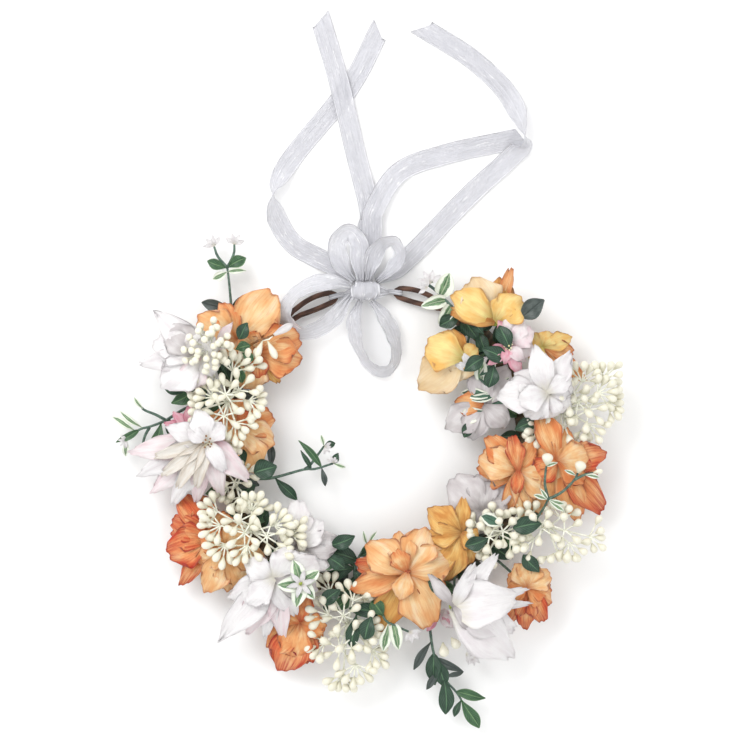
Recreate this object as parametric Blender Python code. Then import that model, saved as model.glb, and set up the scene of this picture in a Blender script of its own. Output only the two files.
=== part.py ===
"""Flower crown: an artificial-flower head wreath that opens at the back and ties with a ribbon bow.

The crown lies flat, as on a table. The origin is the centre of the ring on the table, +Z is up, +Y is the
back of the head with the bow, and -Y is the front. Every flower, berry spray and leaf sprig is placed in
polar terms: degrees round the ring, distance out from the band's centreline, and height above the table.
"""

import math

import bmesh
import bpy
import numpy as np
from mathutils import Matrix, Vector
from mathutils.bvhtree import BVHTree

MM = 0.001

# Driving dimensions of the band.
BAND_RADIUS = 90 * MM
STRAND_RADIUS = 1.6 * MM
STRAND_GAP = 0.8 * MM
TWIST_PITCH = 47 * MM
BACK_ANGLE = 93.6
OPENING_ANGLE = 22.4
EYE_LENGTH = 25 * MM
EYE_HALF_WIDTH = 3.6 * MM
EYE_STEPS = 7
STRAND_SIDES = 5
STRAND_STEP = 9 * MM
NECK_LENGTH = 9 * MM
TAPE_WALL = 0.75 * MM
CLEARANCE = 0.3 * MM

# Driving dimensions of what is fastened to the band.
STEM_RADIUS = 0.9 * MM
CALYX_RADIUS = 3.0 * MM
CALYX_LENGTH = 4.5 * MM
PETAL_THICKNESS = 1.0 * MM
BLOOM_SCALE = 1.0
BERRY_RADIUS = 2.2 * MM
BERRY_LENGTH = 6.4 * MM
BRANCH_RADIUS = 0.6 * MM
BERRY_SIDES = 4
LEAF_THICKNESS = 0.9 * MM
LEAF_STAGGER = 1.3 * MM
LEAF_OFFSET = 0.08 * MM
SPRIG_BEND = (-6, 35)
SWEEP_MARGIN = 2
SWEEP_STEPS = 9
DRAW_IN = 0.93
DRAW_IN_ROUNDS = 60
ROOM = 0.7 * CLEARANCE
ROOT_SHIFTS = (0, 2, -2, 4, -4, 6, -6, 8, -8, 10, -10, 12, -12)
LEAST_FACING = 0.45
FACING_COST = 10
CROWDING_COST = 40

# Driving dimensions of the ribbon and its bow.
RIBBON_WIDTH = 12 * MM
RIBBON_THICKNESS = 0.5 * MM
PINCH_WIDTH = 4 * MM
PINCH_LENGTH = 16 * MM
KNOT_SIZE = Vector((16 * MM, 10 * MM, 9 * MM))
KNOT_LIFT = 3.6 * MM
LACING_WIDTH = 2.4 * MM
LACING_LEG = 4.4 * MM

# What follows from them.
TWIST_RADIUS = (2 * STRAND_RADIUS + STRAND_GAP) / math.sqrt(3)
BUNDLE_RADIUS = TWIST_RADIUS + STRAND_RADIUS
TAPE_SIDES = 6
TAPE_FLATNESS = math.cos(math.pi / TAPE_SIDES)
TAPE_INNER = (BUNDLE_RADIUS + CLEARANCE) / TAPE_FLATNESS
TAPE_OUTER = TAPE_INNER + TAPE_WALL / TAPE_FLATNESS
BAND_HEIGHT = TAPE_OUTER * TAPE_FLATNESS
LEFT_END = BACK_ANGLE + OPENING_ANGLE / 2
RIGHT_END = BACK_ANGLE - OPENING_ANGLE / 2 + 360
KNOT_BACK = BAND_RADIUS + KNOT_SIZE.y / 2
EYE_TIP = EYE_LENGTH * 0.5 / EYE_STEPS

UP = Vector((0, 0, 1))


def clear_scene():
    for leftover in list(bpy.data.objects):
        bpy.data.objects.remove(leftover)


def material(name, colour, roughness, metallic=0.0):
    made = bpy.data.materials.new(name)
    made.use_nodes = True
    shader = made.node_tree.nodes["Principled BSDF"]
    shader.inputs["Base Color"].default_value = (*colour, 1)
    shader.inputs["Roughness"].default_value = roughness
    shader.inputs["Metallic"].default_value = metallic
    return made


def polar(around, out, height):
    """The point at this angle in degrees, this far out from the band's centreline, at this height."""
    angle = math.radians(around)
    reach = BAND_RADIUS + out
    return Vector((reach * math.cos(angle), reach * math.sin(angle), height))


def add_object(name, vertices, faces, paint, origin=None):
    """A mesh object from world-space points, with its own origin at a joint or other reference point."""
    origin = origin or Vector((0, 0, 0))
    mesh = bpy.data.meshes.new(name)
    mesh.from_pydata([tuple(Vector(v) - origin) for v in vertices], [], faces)
    mesh.validate()
    shape = bmesh.new()
    shape.from_mesh(mesh)
    bmesh.ops.recalc_face_normals(shape, faces=shape.faces)
    shape.to_mesh(mesh)
    shape.free()
    mesh.shade_smooth()
    mesh.set_sharp_from_angle(angle=math.radians(40))
    mesh.materials.append(paint)
    made = bpy.data.objects.new(name, mesh)
    made.location = origin
    bpy.context.scene.collection.objects.link(made)
    return made


def smooth_step(value):
    value = min(max(value, 0.0), 1.0)
    return value * value * (3 - 2 * value)


def curve_through(points, spacing):
    """Points about this far apart along a smooth curve through the given ones."""
    points = [np.array(p, float) for p in points]
    before = 2 * points[0] - points[1]
    after = 2 * points[-1] - points[-2]
    knots = [before, *points, after]
    found = []
    for i in range(1, len(knots) - 2):
        a, b, c, d = knots[i - 1 : i + 3]
        steps = max(2, round(np.linalg.norm(c[:3] - b[:3]) / spacing))
        for step in range(steps):
            t = step / steps
            found.append(
                0.5
                * (
                    2 * b
                    + (c - a) * t
                    + (2 * a - 5 * b + 4 * c - d) * t**2
                    + (3 * b - a - 3 * c + d) * t**3
                )
            )
    found.append(points[-1])
    return found


def bridge(rings, loop=False):
    """Vertices and faces of a skin over rings of equal size, with end caps unless it closes on itself."""
    size = len(rings[0])
    vertices = [v for ring in rings for v in ring]
    faces = []
    for i in range(len(rings) if loop else len(rings) - 1):
        here = i * size
        there = (i + 1) % len(rings) * size
        for k in range(size):
            beside = (k + 1) % size
            faces.append((here + k, here + beside, there + beside, there + k))
    if not loop:
        last = (len(rings) - 1) * size
        faces.append(tuple(reversed(range(size))))
        faces.append(tuple(range(last, last + size)))
    return vertices, faces


def round_rings(path, radii, sides, loop=False):
    """Round sections along a path, square to it."""
    rings = []
    for i, point in enumerate(path):
        behind = path[i - 1] if i or loop else path[0]
        ahead = path[(i + 1) % len(path)] if i + 1 < len(path) or loop else path[-1]
        along = (Vector(ahead) - Vector(behind)).normalized()
        helper = UP if abs(along.z) < 0.9 else Vector((1, 0, 0))
        across = along.cross(helper).normalized()
        over = across.cross(along)
        ring = []
        for k in range(sides):
            angle = 2 * math.pi * k / sides
            ring.append(Vector(point) + (across * math.cos(angle) + over * math.sin(angle)) * radii[i])
        rings.append(ring)
    return rings


# The band: a doubled wire with an eye at each end, a vine strand, and sleeves of floral tape.


def along_band(distance):
    """The angle in degrees at this distance from the tip of the left eye."""
    return LEFT_END + math.degrees(distance / BAND_RADIUS)


BAND_LENGTH = math.radians(RIGHT_END - LEFT_END) * BAND_RADIUS
TURNS = round((BAND_LENGTH - 2 * EYE_LENGTH) / TWIST_PITCH)


def strand_point(distance, offset_angle, spread):
    """A point of a strand: its angle round the bundle is the twist's plus the offset."""
    share = (distance - EYE_LENGTH) / (BAND_LENGTH - 2 * EYE_LENGTH)
    twist = 90 + 360 * TURNS * min(max(share, 0.0), 1.0)
    angle = math.radians(twist + offset_angle)
    return polar(
        along_band(distance),
        spread * math.cos(angle),
        BAND_HEIGHT + spread * math.sin(angle),
    )


def wire_run(side):
    """One run of the doubled wire, from the left eye's tip to the right eye's."""
    points = []
    for end in (0, 1):
        stretch = []
        for i in range(EYE_STEPS):
            share = (i + 0.5) / EYE_STEPS
            spread = TWIST_RADIUS + (EYE_HALF_WIDTH - TWIST_RADIUS) * math.sin(math.pi * share)
            spread *= min(1.0, math.sqrt(share / 0.12))
            place = share * EYE_LENGTH
            distance = BAND_LENGTH - place if end else place
            stretch.append(strand_point(distance, 90 * side, spread))
        if end:
            stretch.reverse()
        points.append(stretch)
    middle = []
    count = round((BAND_LENGTH - 2 * EYE_LENGTH) / STRAND_STEP)
    for i in range(count + 1):
        distance = EYE_LENGTH + (BAND_LENGTH - 2 * EYE_LENGTH) * i / count
        from_eye = min(distance, BAND_LENGTH - distance) - EYE_LENGTH
        opening = 90 - 30 * smooth_step(from_eye / NECK_LENGTH)
        middle.append(strand_point(distance, opening * side, TWIST_RADIUS))
    return points[0] + middle + points[1]


def make_band(paint):
    loop = wire_run(1) + list(reversed(wire_run(-1)))
    rings = round_rings(loop, [STRAND_RADIUS] * len(loop), STRAND_SIDES, loop=True)
    add_object("band_wire", *bridge(rings, loop=True), paint["paper_wrap"])

    start = EYE_LENGTH + NECK_LENGTH
    count = round((BAND_LENGTH - 2 * start) / STRAND_STEP)
    path = []
    for i in range(count + 1):
        path.append(strand_point(start + (BAND_LENGTH - 2 * start) * i / count, 180, TWIST_RADIUS))
    radii = [STRAND_RADIUS * 0.5] + [STRAND_RADIUS] * (count - 1) + [STRAND_RADIUS * 0.5]
    add_object("band_vine", *bridge(round_rings(path, radii, STRAND_SIDES)), paint["vine"])


# Each sleeve's name and the angles that it covers.
SLEEVES = (
    ("tape_left", 128, 190),
    ("tape_front_left", 191.5, 250),
    ("tape_front", 256, 322),
    ("tape_right", 323.5, 416),
)


def make_sleeve(name, start, end, paint):
    """Tape wound round the three strands, flat underneath where the crown rests."""
    steps = round((end - start) / 9)
    rings = []
    for i in range(steps + 1):
        around = start + (end - start) * i / steps
        section = []
        for radius in (TAPE_OUTER, TAPE_INNER):
            ring = []
            for k in range(TAPE_SIDES):
                angle = 2 * math.pi * k / TAPE_SIDES
                ring.append(polar(around, radius * math.cos(angle), BAND_HEIGHT + radius * math.sin(angle)))
            section.append(ring)
        rings.append(section)
    size = 2 * TAPE_SIDES
    vertices = [v for section in rings for ring in section for v in ring]
    faces = []
    for i in range(steps + 1):
        for k in range(TAPE_SIDES):
            beside = (k + 1) % TAPE_SIDES
            outer = i * size + k, i * size + beside
            inner = outer[0] + TAPE_SIDES, outer[1] + TAPE_SIDES
            if i < steps:
                faces.append((outer[0], outer[1], outer[1] + size, outer[0] + size))
                faces.append((inner[1], inner[0], inner[0] + size, inner[1] + size))
            if i in (0, steps):
                faces.append((outer[0], outer[1], inner[1], inner[0]))
    add_object(name, vertices, faces, paint["floral_tape"])


# The ribbon: flat strips with a pinched start at the knot.


def ribbon_rings(points, pinched_ends, spacing=7 * MM, cut=0.0):
    """Sections of a ribbon. Each point holds x, y, z and its roll in degrees about its own run.

    cut slants the far end by this much along one edge.
    """
    path = curve_through(points, spacing)
    places = [Vector(p[:3]) for p in path]
    travelled = [0.0]
    for a, b in zip(places, places[1:]):
        travelled.append(travelled[-1] + (b - a).length)
    rings = []
    for i, (point, row) in enumerate(zip(places, path)):
        along = (places[min(i + 1, len(places) - 1)] - places[max(i - 1, 0)]).normalized()
        across = along.cross(UP).normalized()
        across.rotate(Matrix.Rotation(math.radians(row[3]), 3, along))
        over = across.cross(along)
        from_end = [travelled[i], travelled[-1] - travelled[i]]
        share = min(smooth_step(from_end[e] / PINCH_LENGTH) if e in pinched_ends else 1 for e in (0, 1))
        half = (PINCH_WIDTH + (RIBBON_WIDTH - PINCH_WIDTH) * share) / 2
        point.z = max(point.z, half * abs(across.z) + RIBBON_THICKNESS)
        thick = RIBBON_THICKNESS / 2
        slant = along * cut if i == len(places) - 1 else Vector((0, 0, 0))
        rings.append(
            [
                point + across * half + over * thick + slant,
                point - across * half + over * thick - slant,
                point - across * half - over * thick - slant,
                point + across * half - over * thick + slant,
            ]
        )
    return rings


def from_knot(x, y, z, roll=0.0):
    """A ribbon's point: millimetres right of and behind the knot's back, above the table, and its roll."""
    centre = polar(BACK_ANGLE, 0, 0)
    return (centre.x + x * MM, KNOT_BACK + y * MM, z * MM, roll)


def make_knot(paint):
    centre = Vector((polar(BACK_ANGLE, 0, 0).x, BAND_RADIUS, KNOT_LIFT + KNOT_SIZE.z / 2))
    shape = bmesh.new()
    bmesh.ops.create_cube(shape, size=1)
    bmesh.ops.scale(shape, vec=KNOT_SIZE, verts=shape.verts)
    bmesh.ops.bevel(shape, geom=shape.edges, offset=2.2 * MM, segments=2, affect="EDGES")
    bmesh.ops.translate(shape, vec=centre, verts=shape.verts)
    shape.faces.ensure_lookup_table()
    vertices = [v.co.copy() for v in shape.verts]
    faces = [[v.index for v in f.verts] for f in shape.faces]
    shape.free()
    add_object("bow_knot", vertices, faces, paint["organza"])


# Tails: each has its points behind the knot, and how far its cut end slants.
TAILS = {
    "tail_far_left": (
        (
            (-6.6, 0.6, 2.3),
            (-16, 8.5, 1.4),
            (-30, 15.5, 0.7),
            (-43, 23, 0.6),
            (-52, 36, 1.2),
            (-55.5, 50, 7.2, 75),
            (-46, 72, 0.6, 180),
            (-10, 117, 0.5, 180),
            (8, 151, 0.5, 180),
        ),
        5 * MM,
    ),
    "tail_middle_left": (
        (
            (-2.6, 0.6, 2.0),
            (-3, 14, 1.6),
            (1, 32, 1.4),
            (2.5, 43, 1.4),
            (-6, 78, 1.0),
            (-12, 104, 2.3),
            (-18, 128, 1.0),
            (-27, 158, 0.5),
        ),
        4 * MM,
    ),
    "tail_middle_right": (
        (
            (1.8, 0.6, 2.8),
            (3.5, 14, 3.4),
            (5, 34, 4.0),
            (9, 50, 3.6),
            (20, 66, 1.4),
            (48, 77, 0.5),
            (94, 87, 0.5),
        ),
        3 * MM,
    ),
    "tail_far_right": (
        (
            (6.6, 0.6, 2.2),
            (17, 7, 1.6),
            (30, 19, 0.7),
            (62, 52, 0.7),
            (88, 76, 1.6),
            (95.5, 86, 9.5, 80),
            (86, 112, 0.7, 180),
            (64, 134, 0.5, 180),
            (34, 153, 0.5, 180),
        ),
        5 * MM,
    ),
}
TAIL_HINGE = Vector((0, KNOT_BACK + CLEARANCE, 2 * MM))

# Loops: outline points beside the knot, and back to it.
LOOPS = {
    "bow_loop_lower_left": (
        (-8.6, -2.0, 10.4, 10),
        (-22, 0, 13.4, 36),
        (-37, -4, 15.0, 46),
        (-47, -13, 16.6, 50),
        (-47, -23, 16.6, 50),
        (-37, -30, 15.6, 48),
        (-21, -23, 13.4, 42),
        (-8.6, -7.4, 10.0, 10),
    ),
    "bow_loop_lower_right": (
        (-3.0, -11.2, 9.6, 10),
        (-7, -26, 10, 48),
        (-2, -43, 10, 60),
        (8, -53, 10, 62),
        (17, -49, 10, 60),
        (18, -37, 10, 54),
        (12, -23, 10, 46),
        (3.4, -11.2, 9.6, 10),
    ),
    "bow_loop_upper_left": (
        (-7.0, 1.0, 8.2, 10),
        (-15, 12, 10, 40),
        (-17, 24, 11, 52),
        (-10, 30, 11, 60),
        (-4, 23, 11, 50),
        (-4, 12, 10, 35),
        (-3.2, 1.0, 10.6, 10),
    ),
    "bow_loop_upper_right": (
        (1.6, 1.0, 10.6, 10),
        (4, 13, 11, 40),
        (9, 22, 12, 55),
        (17, 24, 12, 60),
        (21, 16, 12, 55),
        (15, 7, 10, 40),
        (7.2, 1.0, 8.2, 10),
    ),
}


# A wider ribbon moves these sideways by this many times half its extra width, so that they stay apart.
SPREAD = {
    "tail_far_left": -2,
    "tail_middle_left": -1,
    "tail_middle_right": 1,
    "tail_far_right": 2,
    "bow_loop_upper_left": -1,
    "bow_loop_upper_right": 1,
}


def spread_points(name, points):
    """The ribbon's points: a wider ribbon lies further to its side and stands higher where it's on edge."""
    apart = SPREAD.get(name, 0) * (RIBBON_WIDTH / MM - 12) / 2
    higher = RIBBON_WIDTH / (12 * MM)
    return [from_knot(x + apart, y, z * higher, *roll) for x, y, z, *roll in points]


def make_ribbons(paint):
    for name, (points, cut) in TAILS.items():
        rings = ribbon_rings(spread_points(name, points), (0,), cut=cut)
        add_object(name, *bridge(rings), paint["organza"], origin=TAIL_HINGE)
    for name, points in LOOPS.items():
        rings = ribbon_rings(spread_points(name, points), (0, 1), spacing=5 * MM)
        add_object(name, *bridge(rings), paint["organza"])
    for name, side in (("lacing_left", -1), ("lacing_right", 1)):
        add_object(name, *bridge(lacing_rings(side)), paint["organza"])


def lacing_rings(side):
    """A narrow folded ribbon from the knot, through the eye and back under its tip wire."""
    end = LEFT_END if side < 0 else RIGHT_END
    room = 1.15 * STRAND_RADIUS + 2 * CLEARANCE + RIBBON_THICKNESS / 2
    curl = []
    for k in range(7):
        angle = math.pi * (k - 3) / 6
        curl.append((EYE_TIP + room * math.cos(angle), BAND_HEIGHT - room * math.sin(angle)))
    legs = [(-LACING_LEG, curl[0][1]), *curl, (-LACING_LEG, curl[-1][1])]
    sections = []
    for i, (place, height) in enumerate(legs):
        before = legs[max(i - 1, 0)]
        after = legs[min(i + 1, len(legs) - 1)]
        run = Vector((after[0] - before[0], after[1] - before[1])).normalized()
        section = []
        for wide, thick in ((1, 1), (-1, 1), (-1, -1), (1, -1)):
            shift = run.yx * thick * RIBBON_THICKNESS / 2
            along = place + shift.x
            around = end - side * math.degrees(along / BAND_RADIUS)
            section.append(polar(around, wide * LACING_WIDTH / 2, height - shift.y))
        sections.append(section)
    return sections


# What grows on the band. A head is a corolla, a spray of berries or the leaves of a sprig. Its spokes
# start at full reach, and shrink_heads draws in only those that would meet a neighbour.


class Head:
    """One solid on a stem. reach holds each spoke's share of its full length."""

    def __init__(self, name, paint, spokes, hinge=None):
        self.name = name
        self.paint = paint
        self.reach = [1.0] * spokes
        self.hinge = hinge
        self.root = None

    def pieces(self, swell):
        """A list of (vertices, faces, spokes of each face), grown outwards by swell."""
        raise NotImplementedError

    def poses(self):
        """The turns that the head can take about its root, as matrices."""
        if self.hinge is None:
            return [Matrix.Identity(4)]
        axis = hinge_axis(self)
        found = []
        for angle in np.linspace(self.hinge[0] - SWEEP_MARGIN, self.hinge[1] + SWEEP_MARGIN, SWEEP_STEPS):
            turn = Matrix.Rotation(math.radians(angle), 4, axis)
            found.append(Matrix.Translation(self.root) @ turn @ Matrix.Translation(-self.root))
        return found + [Matrix.Identity(4)]


def hinge_axis(head):
    """Level and square to the stem, so that a positive turn lifts the tip."""
    along = head.path[-1] - head.root
    return Vector((along.y, -along.x, 0)).normalized()


class Bloom(Head):
    """A flower: stem, calyx and one cupped corolla whose rim has this many petals."""

    def __init__(self, name, paint, around, out, height, radius, tilt=0, heading=None, petals=5, cup=0.35):
        super().__init__(name, paint, 2 * petals)
        self.around = around
        self.seat = polar(around, out * MM, height * MM)
        self.radius = radius * MM * BLOOM_SCALE
        self.cup = cup * self.radius
        lean = math.radians(tilt)
        turn = math.radians(around if heading is None else heading)
        self.axis = Vector((math.sin(lean) * math.cos(turn), math.sin(lean) * math.sin(turn), math.cos(lean)))
        self.across = self.axis.orthogonal().normalized()
        self.over = self.axis.cross(self.across)
        self.path = [self.seat - self.axis * CALYX_LENGTH]

    def ring(self, share, rise, least, swell):
        """Points round the axis, at this share of the full reach and this far off the petal's middle."""
        points = []
        for k, reach in enumerate(self.reach):
            full = self.radius * (1.0 if k % 2 == 0 else 0.66)
            radius = max(full * share * reach, least) + swell * (share > 0.9)
            height = self.cup * (full * share * reach / self.radius) ** 2
            slope = 2 * self.cup * full * share * reach / self.radius**2
            angle = 2 * math.pi * k / len(self.reach)
            spoke = self.across * math.cos(angle) + self.over * math.sin(angle)
            off = (self.axis - spoke * slope).normalized()
            points.append(self.seat + spoke * radius + self.axis * height + off * rise)
        return points

    def pieces(self, swell):
        sides = len(self.reach)
        thick = PETAL_THICKNESS / 2 + swell
        stem_radius = STEM_RADIUS + swell
        stem = round_rings([self.root, self.path[0]], [stem_radius] * 2, sides)
        centre = 2.2 * MM
        rings = [
            stem[0],
            self.ring(0, -CALYX_LENGTH, stem_radius, 0),
            self.ring(0, -thick - 0.6 * MM, CALYX_RADIUS * 0.8, 0),
            self.ring(0.55, -thick, CALYX_RADIUS, 0),
            self.ring(1, -thick, CALYX_RADIUS + 0.4 * MM, swell),
            self.ring(1, thick, CALYX_RADIUS + 0.4 * MM, swell),
            self.ring(0.5, thick + 0.1 * MM, CALYX_RADIUS * 0.9, 0),
            self.ring(0, thick + centre, CALYX_RADIUS * 0.6, 0),
        ]
        rings[0] = matched(stem[0], rings[1])
        vertices, faces = bridge(rings)
        spokes = []
        for i in range(len(rings) - 1):
            for k in range(sides):
                spokes.append(() if i < 2 else (k, (k + 1) % sides))
        spokes += [(), ()]
        return [(vertices, faces, spokes)]


def matched(ring, target):
    """The ring turned and, if need be, reversed so that its points face the target's."""
    size = len(ring)
    best = None
    for order in (ring, list(reversed(ring))):
        for shift in range(size):
            turned = order[shift:] + order[:shift]
            cost = sum((a - b).length_squared for a, b in zip(turned, target))
            if best is None or cost < best[0]:
                best = (cost, turned)
    return best[1]


class Spray(Head):
    """Ivory berries on branches that spread from the top of one stem into a dome."""

    def __init__(self, name, paint, around, out, height, spread, count, tilt=0, heading=None, rise=7):
        super().__init__(name, paint, count)
        self.around = around
        self.seat = polar(around, out * MM, height * MM)
        self.spread = spread
        self.heading = math.radians(around if heading is None else heading)
        self.tilt = math.radians(tilt)
        self.rise = rise * MM
        self.path = [self.seat]

    def tip(self, k):
        """The far end of a branch: a dome of golden-angle steps, stretched and tilted to its heading."""
        share = math.sqrt((k + 0.7) / len(self.reach))
        angle = k * math.pi * (3 - math.sqrt(5))
        long_way = self.spread[0] * MM * share * math.cos(angle)
        wide_way = self.spread[1] * MM * share * math.sin(angle)
        lift = self.rise * (1.15 - share * share)
        ahead = Vector((math.cos(self.heading), math.sin(self.heading), 0))
        side = Vector((-ahead.y, ahead.x, 0))
        tilted = ahead * math.cos(self.tilt) - UP * math.sin(self.tilt)
        over = tilted.cross(side)
        return self.seat + tilted * long_way + side * wide_way + over * lift

    def pieces(self, swell):
        made = []
        stem = round_rings([self.root, self.seat], [STEM_RADIUS + swell] * 2, 5)
        vertices, faces = bridge(stem)
        made.append((vertices, faces, [()] * len(faces)))
        for k, reach in enumerate(self.reach):
            full = self.tip(k) - self.seat
            length = max(full.length * reach, 2.5 * MM)
            along = full.normalized()
            berry = min(BERRY_LENGTH, length * 0.8)
            start = length - berry
            places = [-0.8 * MM, start, start + berry * 0.6, length + swell]
            girth = BERRY_RADIUS * berry / BERRY_LENGTH + swell
            branch = BRANCH_RADIUS + swell
            radii = [branch, branch, girth, girth * 0.3]
            path = [self.seat + along * place for place in places]
            vertices, faces = bridge(round_rings(path, radii, BERRY_SIDES))
            made.append((vertices, faces, [(k,)] * len(faces)))
        return made


class Sprig(Head):
    """Leaves along a bent stem, in pairs, with one more at the tip."""

    def __init__(self, name, paint, path, pairs, leaf, start=0.4, splay=50, hinge=None):
        super().__init__(name, paint, 2 * pairs + 1, hinge)
        self.around = path[0][0]
        self.path = [polar(a, o * MM, h * MM) for a, o, h in path]
        self.pairs = pairs
        self.leaf = Vector(leaf) * MM
        self.start = start
        self.splay = math.radians(splay)

    def stem_points(self):
        route = curve_through([self.root, *self.path], 12 * MM)
        return [Vector(p) for p in route]

    def at(self, share):
        """The point at this share of the stem, and the stem's direction there."""
        points = self.stem_points()
        place = share * (len(points) - 1)
        i = min(int(place), len(points) - 2)
        along = (points[i + 1] - points[i]).normalized()
        return points[i].lerp(points[i + 1], place - i), along

    def leaf_place(self, k):
        if k == 2 * self.pairs:
            return (*self.at(1.0), 0.0)
        pair, side = divmod(k, 2)
        share = self.start + (0.94 - self.start) * pair / max(self.pairs - 0.5, 1)
        point, along = self.at(share)
        return point, along, self.splay if side else -self.splay

    def pieces(self, swell):
        points = self.stem_points()
        radii = [STEM_RADIUS + swell] * len(points)
        vertices, faces = bridge(round_rings(points, radii, 5))
        made = [(vertices, faces, [()] * len(faces))]
        for k, reach in enumerate(self.reach):
            point, along, turn = self.leaf_place(k)
            point = point + along * (LEAF_STAGGER * (k % 2)) + UP * LEAF_OFFSET * (k * 7 % 5 - 2)
            level = Vector((along.x, along.y, 0)).normalized()
            ahead = level.copy()
            ahead.rotate(Matrix.Rotation(turn, 3, UP))
            side = UP.cross(ahead)
            length = max(self.leaf.x * reach, 2 * MM)
            wide = self.leaf.y / 2 * max(reach, 0.3) + swell
            thick = LEAF_THICKNESS / 2 + swell
            outline = ((-0.04, 0.16), (0.3, 0.9), (0.62, 0.85), (1.0, 0.12))
            rings = []
            for share, width in outline:
                middle = point + ahead * (length * share + swell * (share == 1.0))
                middle += UP * 2 * MM * math.sin(math.pi * share) * reach
                half = max(wide * width, 0.5 * MM)
                rings.append(
                    [
                        middle + side * half,
                        middle + UP * thick,
                        middle - side * half,
                        middle - UP * thick,
                    ]
                )
            vertices, faces = bridge(rings)
            made.append((vertices, faces, [(k,)] * len(faces)))
        return made


def crown_heads(paint):
    """Every flower, spray and sprig, clockwise from the upper left within each kind."""
    peach = paint["peach_silk"]
    orange = paint["orange_silk"]
    red = paint["red_silk"]
    yellow = paint["yellow_silk"]
    white = paint["white_silk"]
    pink = paint["pink_silk"]
    ivory = paint["ivory_berry"]
    green = paint["green_leaf"]
    cream = paint["cream_leaf"]
    return [
        Bloom("peach_bloom_upper_left", peach, 139, 17, 21, 24, 18),
        Bloom("orange_bloom_upper_left", orange, 143.5, -4, 17, 22, 18, 320),
        Bloom("peach_bloom_left", peach, 174, -7, 15, 21, 22, 350),
        Bloom("red_bloom_lower_left", red, 209.5, 31, 13, 22, 40, 205),
        Bloom("orange_bloom_lower_left", orange, 217, 17, 20, 24, 15),
        Bloom("red_bloom_front_left", red, 248.5, 36, 13, 21, 35, 250),
        Bloom("peach_bloom_front", peach, 281, -7, 23, 30, 12, 100),
        Bloom("orange_bloom_front_inner", orange, 309, -16, 17, 22, 30, 100),
        Bloom("orange_bloom_right", orange, 347, -6, 21, 23, 20, 150),
        Bloom("red_bloom_outer_right", red, 352, 24, 20, 27, 20),
        Bloom("orange_bloom_front_right", orange, 316, 38, 13, 21, 35),
        Bloom("yellow_bloom_upper", yellow, 49.5, 13, 20, 20, 25, 80, cup=0.6),
        Bloom("yellow_bloom_inner", yellow, 49, -22, 14, 20, 35, 225, cup=0.5),
        Bloom("yellow_bloom_outer", yellow, 28, 27, 13, 20, 35),
        Bloom("white_bloom_upper_left", white, 154, 23, 16, 25, 60, 148, petals=6, cup=1.0),
        Bloom("white_lily_left", white, 181.5, 8, 18, 26, 60, 213, petals=6, cup=1.1),
        Bloom("white_bloom_lower_left", white, 235, 12, 14, 25, 60, 246, petals=6, cup=1.1),
        Bloom("white_bloom_inner_left", white, 231, -18, 14, 22, 30, 60),
        Bloom("white_magnolia_front", white, 303, 14, 18, 25, 60, 299, petals=6, cup=1.1),
        Bloom("white_bloom_right", white, 19.5, 8, 25, 28, 18, petals=6),
        Bloom("white_bloom_inner_lower", white, 332, -14, 13, 22, 30, 160),
        Bloom("white_bloom_inner_upper", white, 16, -26, 13, 20, 30, 190),
        Bloom("pink_blossom_upper", pink, 36.5, 9, 27, 17, 15, petals=6),
        Bloom("pink_blossom_left", pink, 174.5, 31, 14, 16, 40),
        Spray("berry_spray_upper_left", ivory, 165.5, 2, 34, (31, 20), 11, heading=84),
        Spray("berry_spray_left", ivory, 198.5, -5, 22, (22, 12), 7, heading=105),
        Spray("berry_spray_lower_left", ivory, 217.5, 1, 34, (32, 20), 11, heading=168),
        Spray("berry_spray_front", ivory, 262.5, 27, 22, (36, 26), 11, heading=285),
        Spray("berry_spray_inner_right", ivory, 324.5, 1, 32, (20, 16), 8, heading=20),
        Spray("berry_spray_outer_right", ivory, 334, 26, 31, (28, 20), 9, heading=350),
        Spray("berry_spray_right", ivory, 10, 31, 28, (33, 24), 11, heading=30),
        Sprig(
            "leaf_sprig_upper_left",
            green,
            ((138, 24, 10), (134, 40, 13), (128, 60, 13)),
            4,
            (13, 6),
            hinge=SPRIG_BEND,
        ),
        Sprig(
            "leaf_sprig_left",
            green,
            ((170, 24, 9), (171, 38, 11), (177, 58, 10)),
            4,
            (11, 5),
            hinge=SPRIG_BEND,
        ),
        Sprig(
            "leaf_sprig_inner",
            green,
            ((199.5, -20, 9), (201, -42, 12), (187, -64, 13)),
            3,
            (11, 5),
            hinge=SPRIG_BEND,
        ),
        Sprig(
            "leaf_sprig_front",
            green,
            ((285, 24, 9), (285.5, 50, 12), (288.5, 76, 11)),
            4,
            (16, 8),
            hinge=SPRIG_BEND,
        ),
        Sprig(
            "forked_sprig_right",
            green,
            ((334, 18, 30), (344, 17, 39), (353, 22, 42)),
            2,
            (8, 4),
            hinge=SPRIG_BEND,
        ),
        Sprig("leaf_sprig_upper_right", green, ((56, -4, 15), (61, 0, 21), (66, 4, 22)), 2, (15, 8)),
        Sprig("leaf_sprig_inner_right", cream, ((12, -12, 24), (28, -19, 26), (42, -24, 24)), 4, (11, 6)),
        Sprig("star_sprig_lower_left", cream, ((240, 0, 20), (243, 3, 28), (249, 9, 33)), 2, (10, 8)),
        Sprig("leaf_sprig_outer_left", green, ((166, 22, 16), (163, 34, 18)), 1, (13, 8)),
        Sprig("leaf_sprig_front_inner", green, ((257, -14, 12), (266, -26, 13)), 2, (16, 8)),
        Sprig("leaf_sprig_front_outer", green, ((268, 3, 16), (272, 10, 22), (278, 22, 24)), 2, (13, 7)),
    ]


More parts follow.
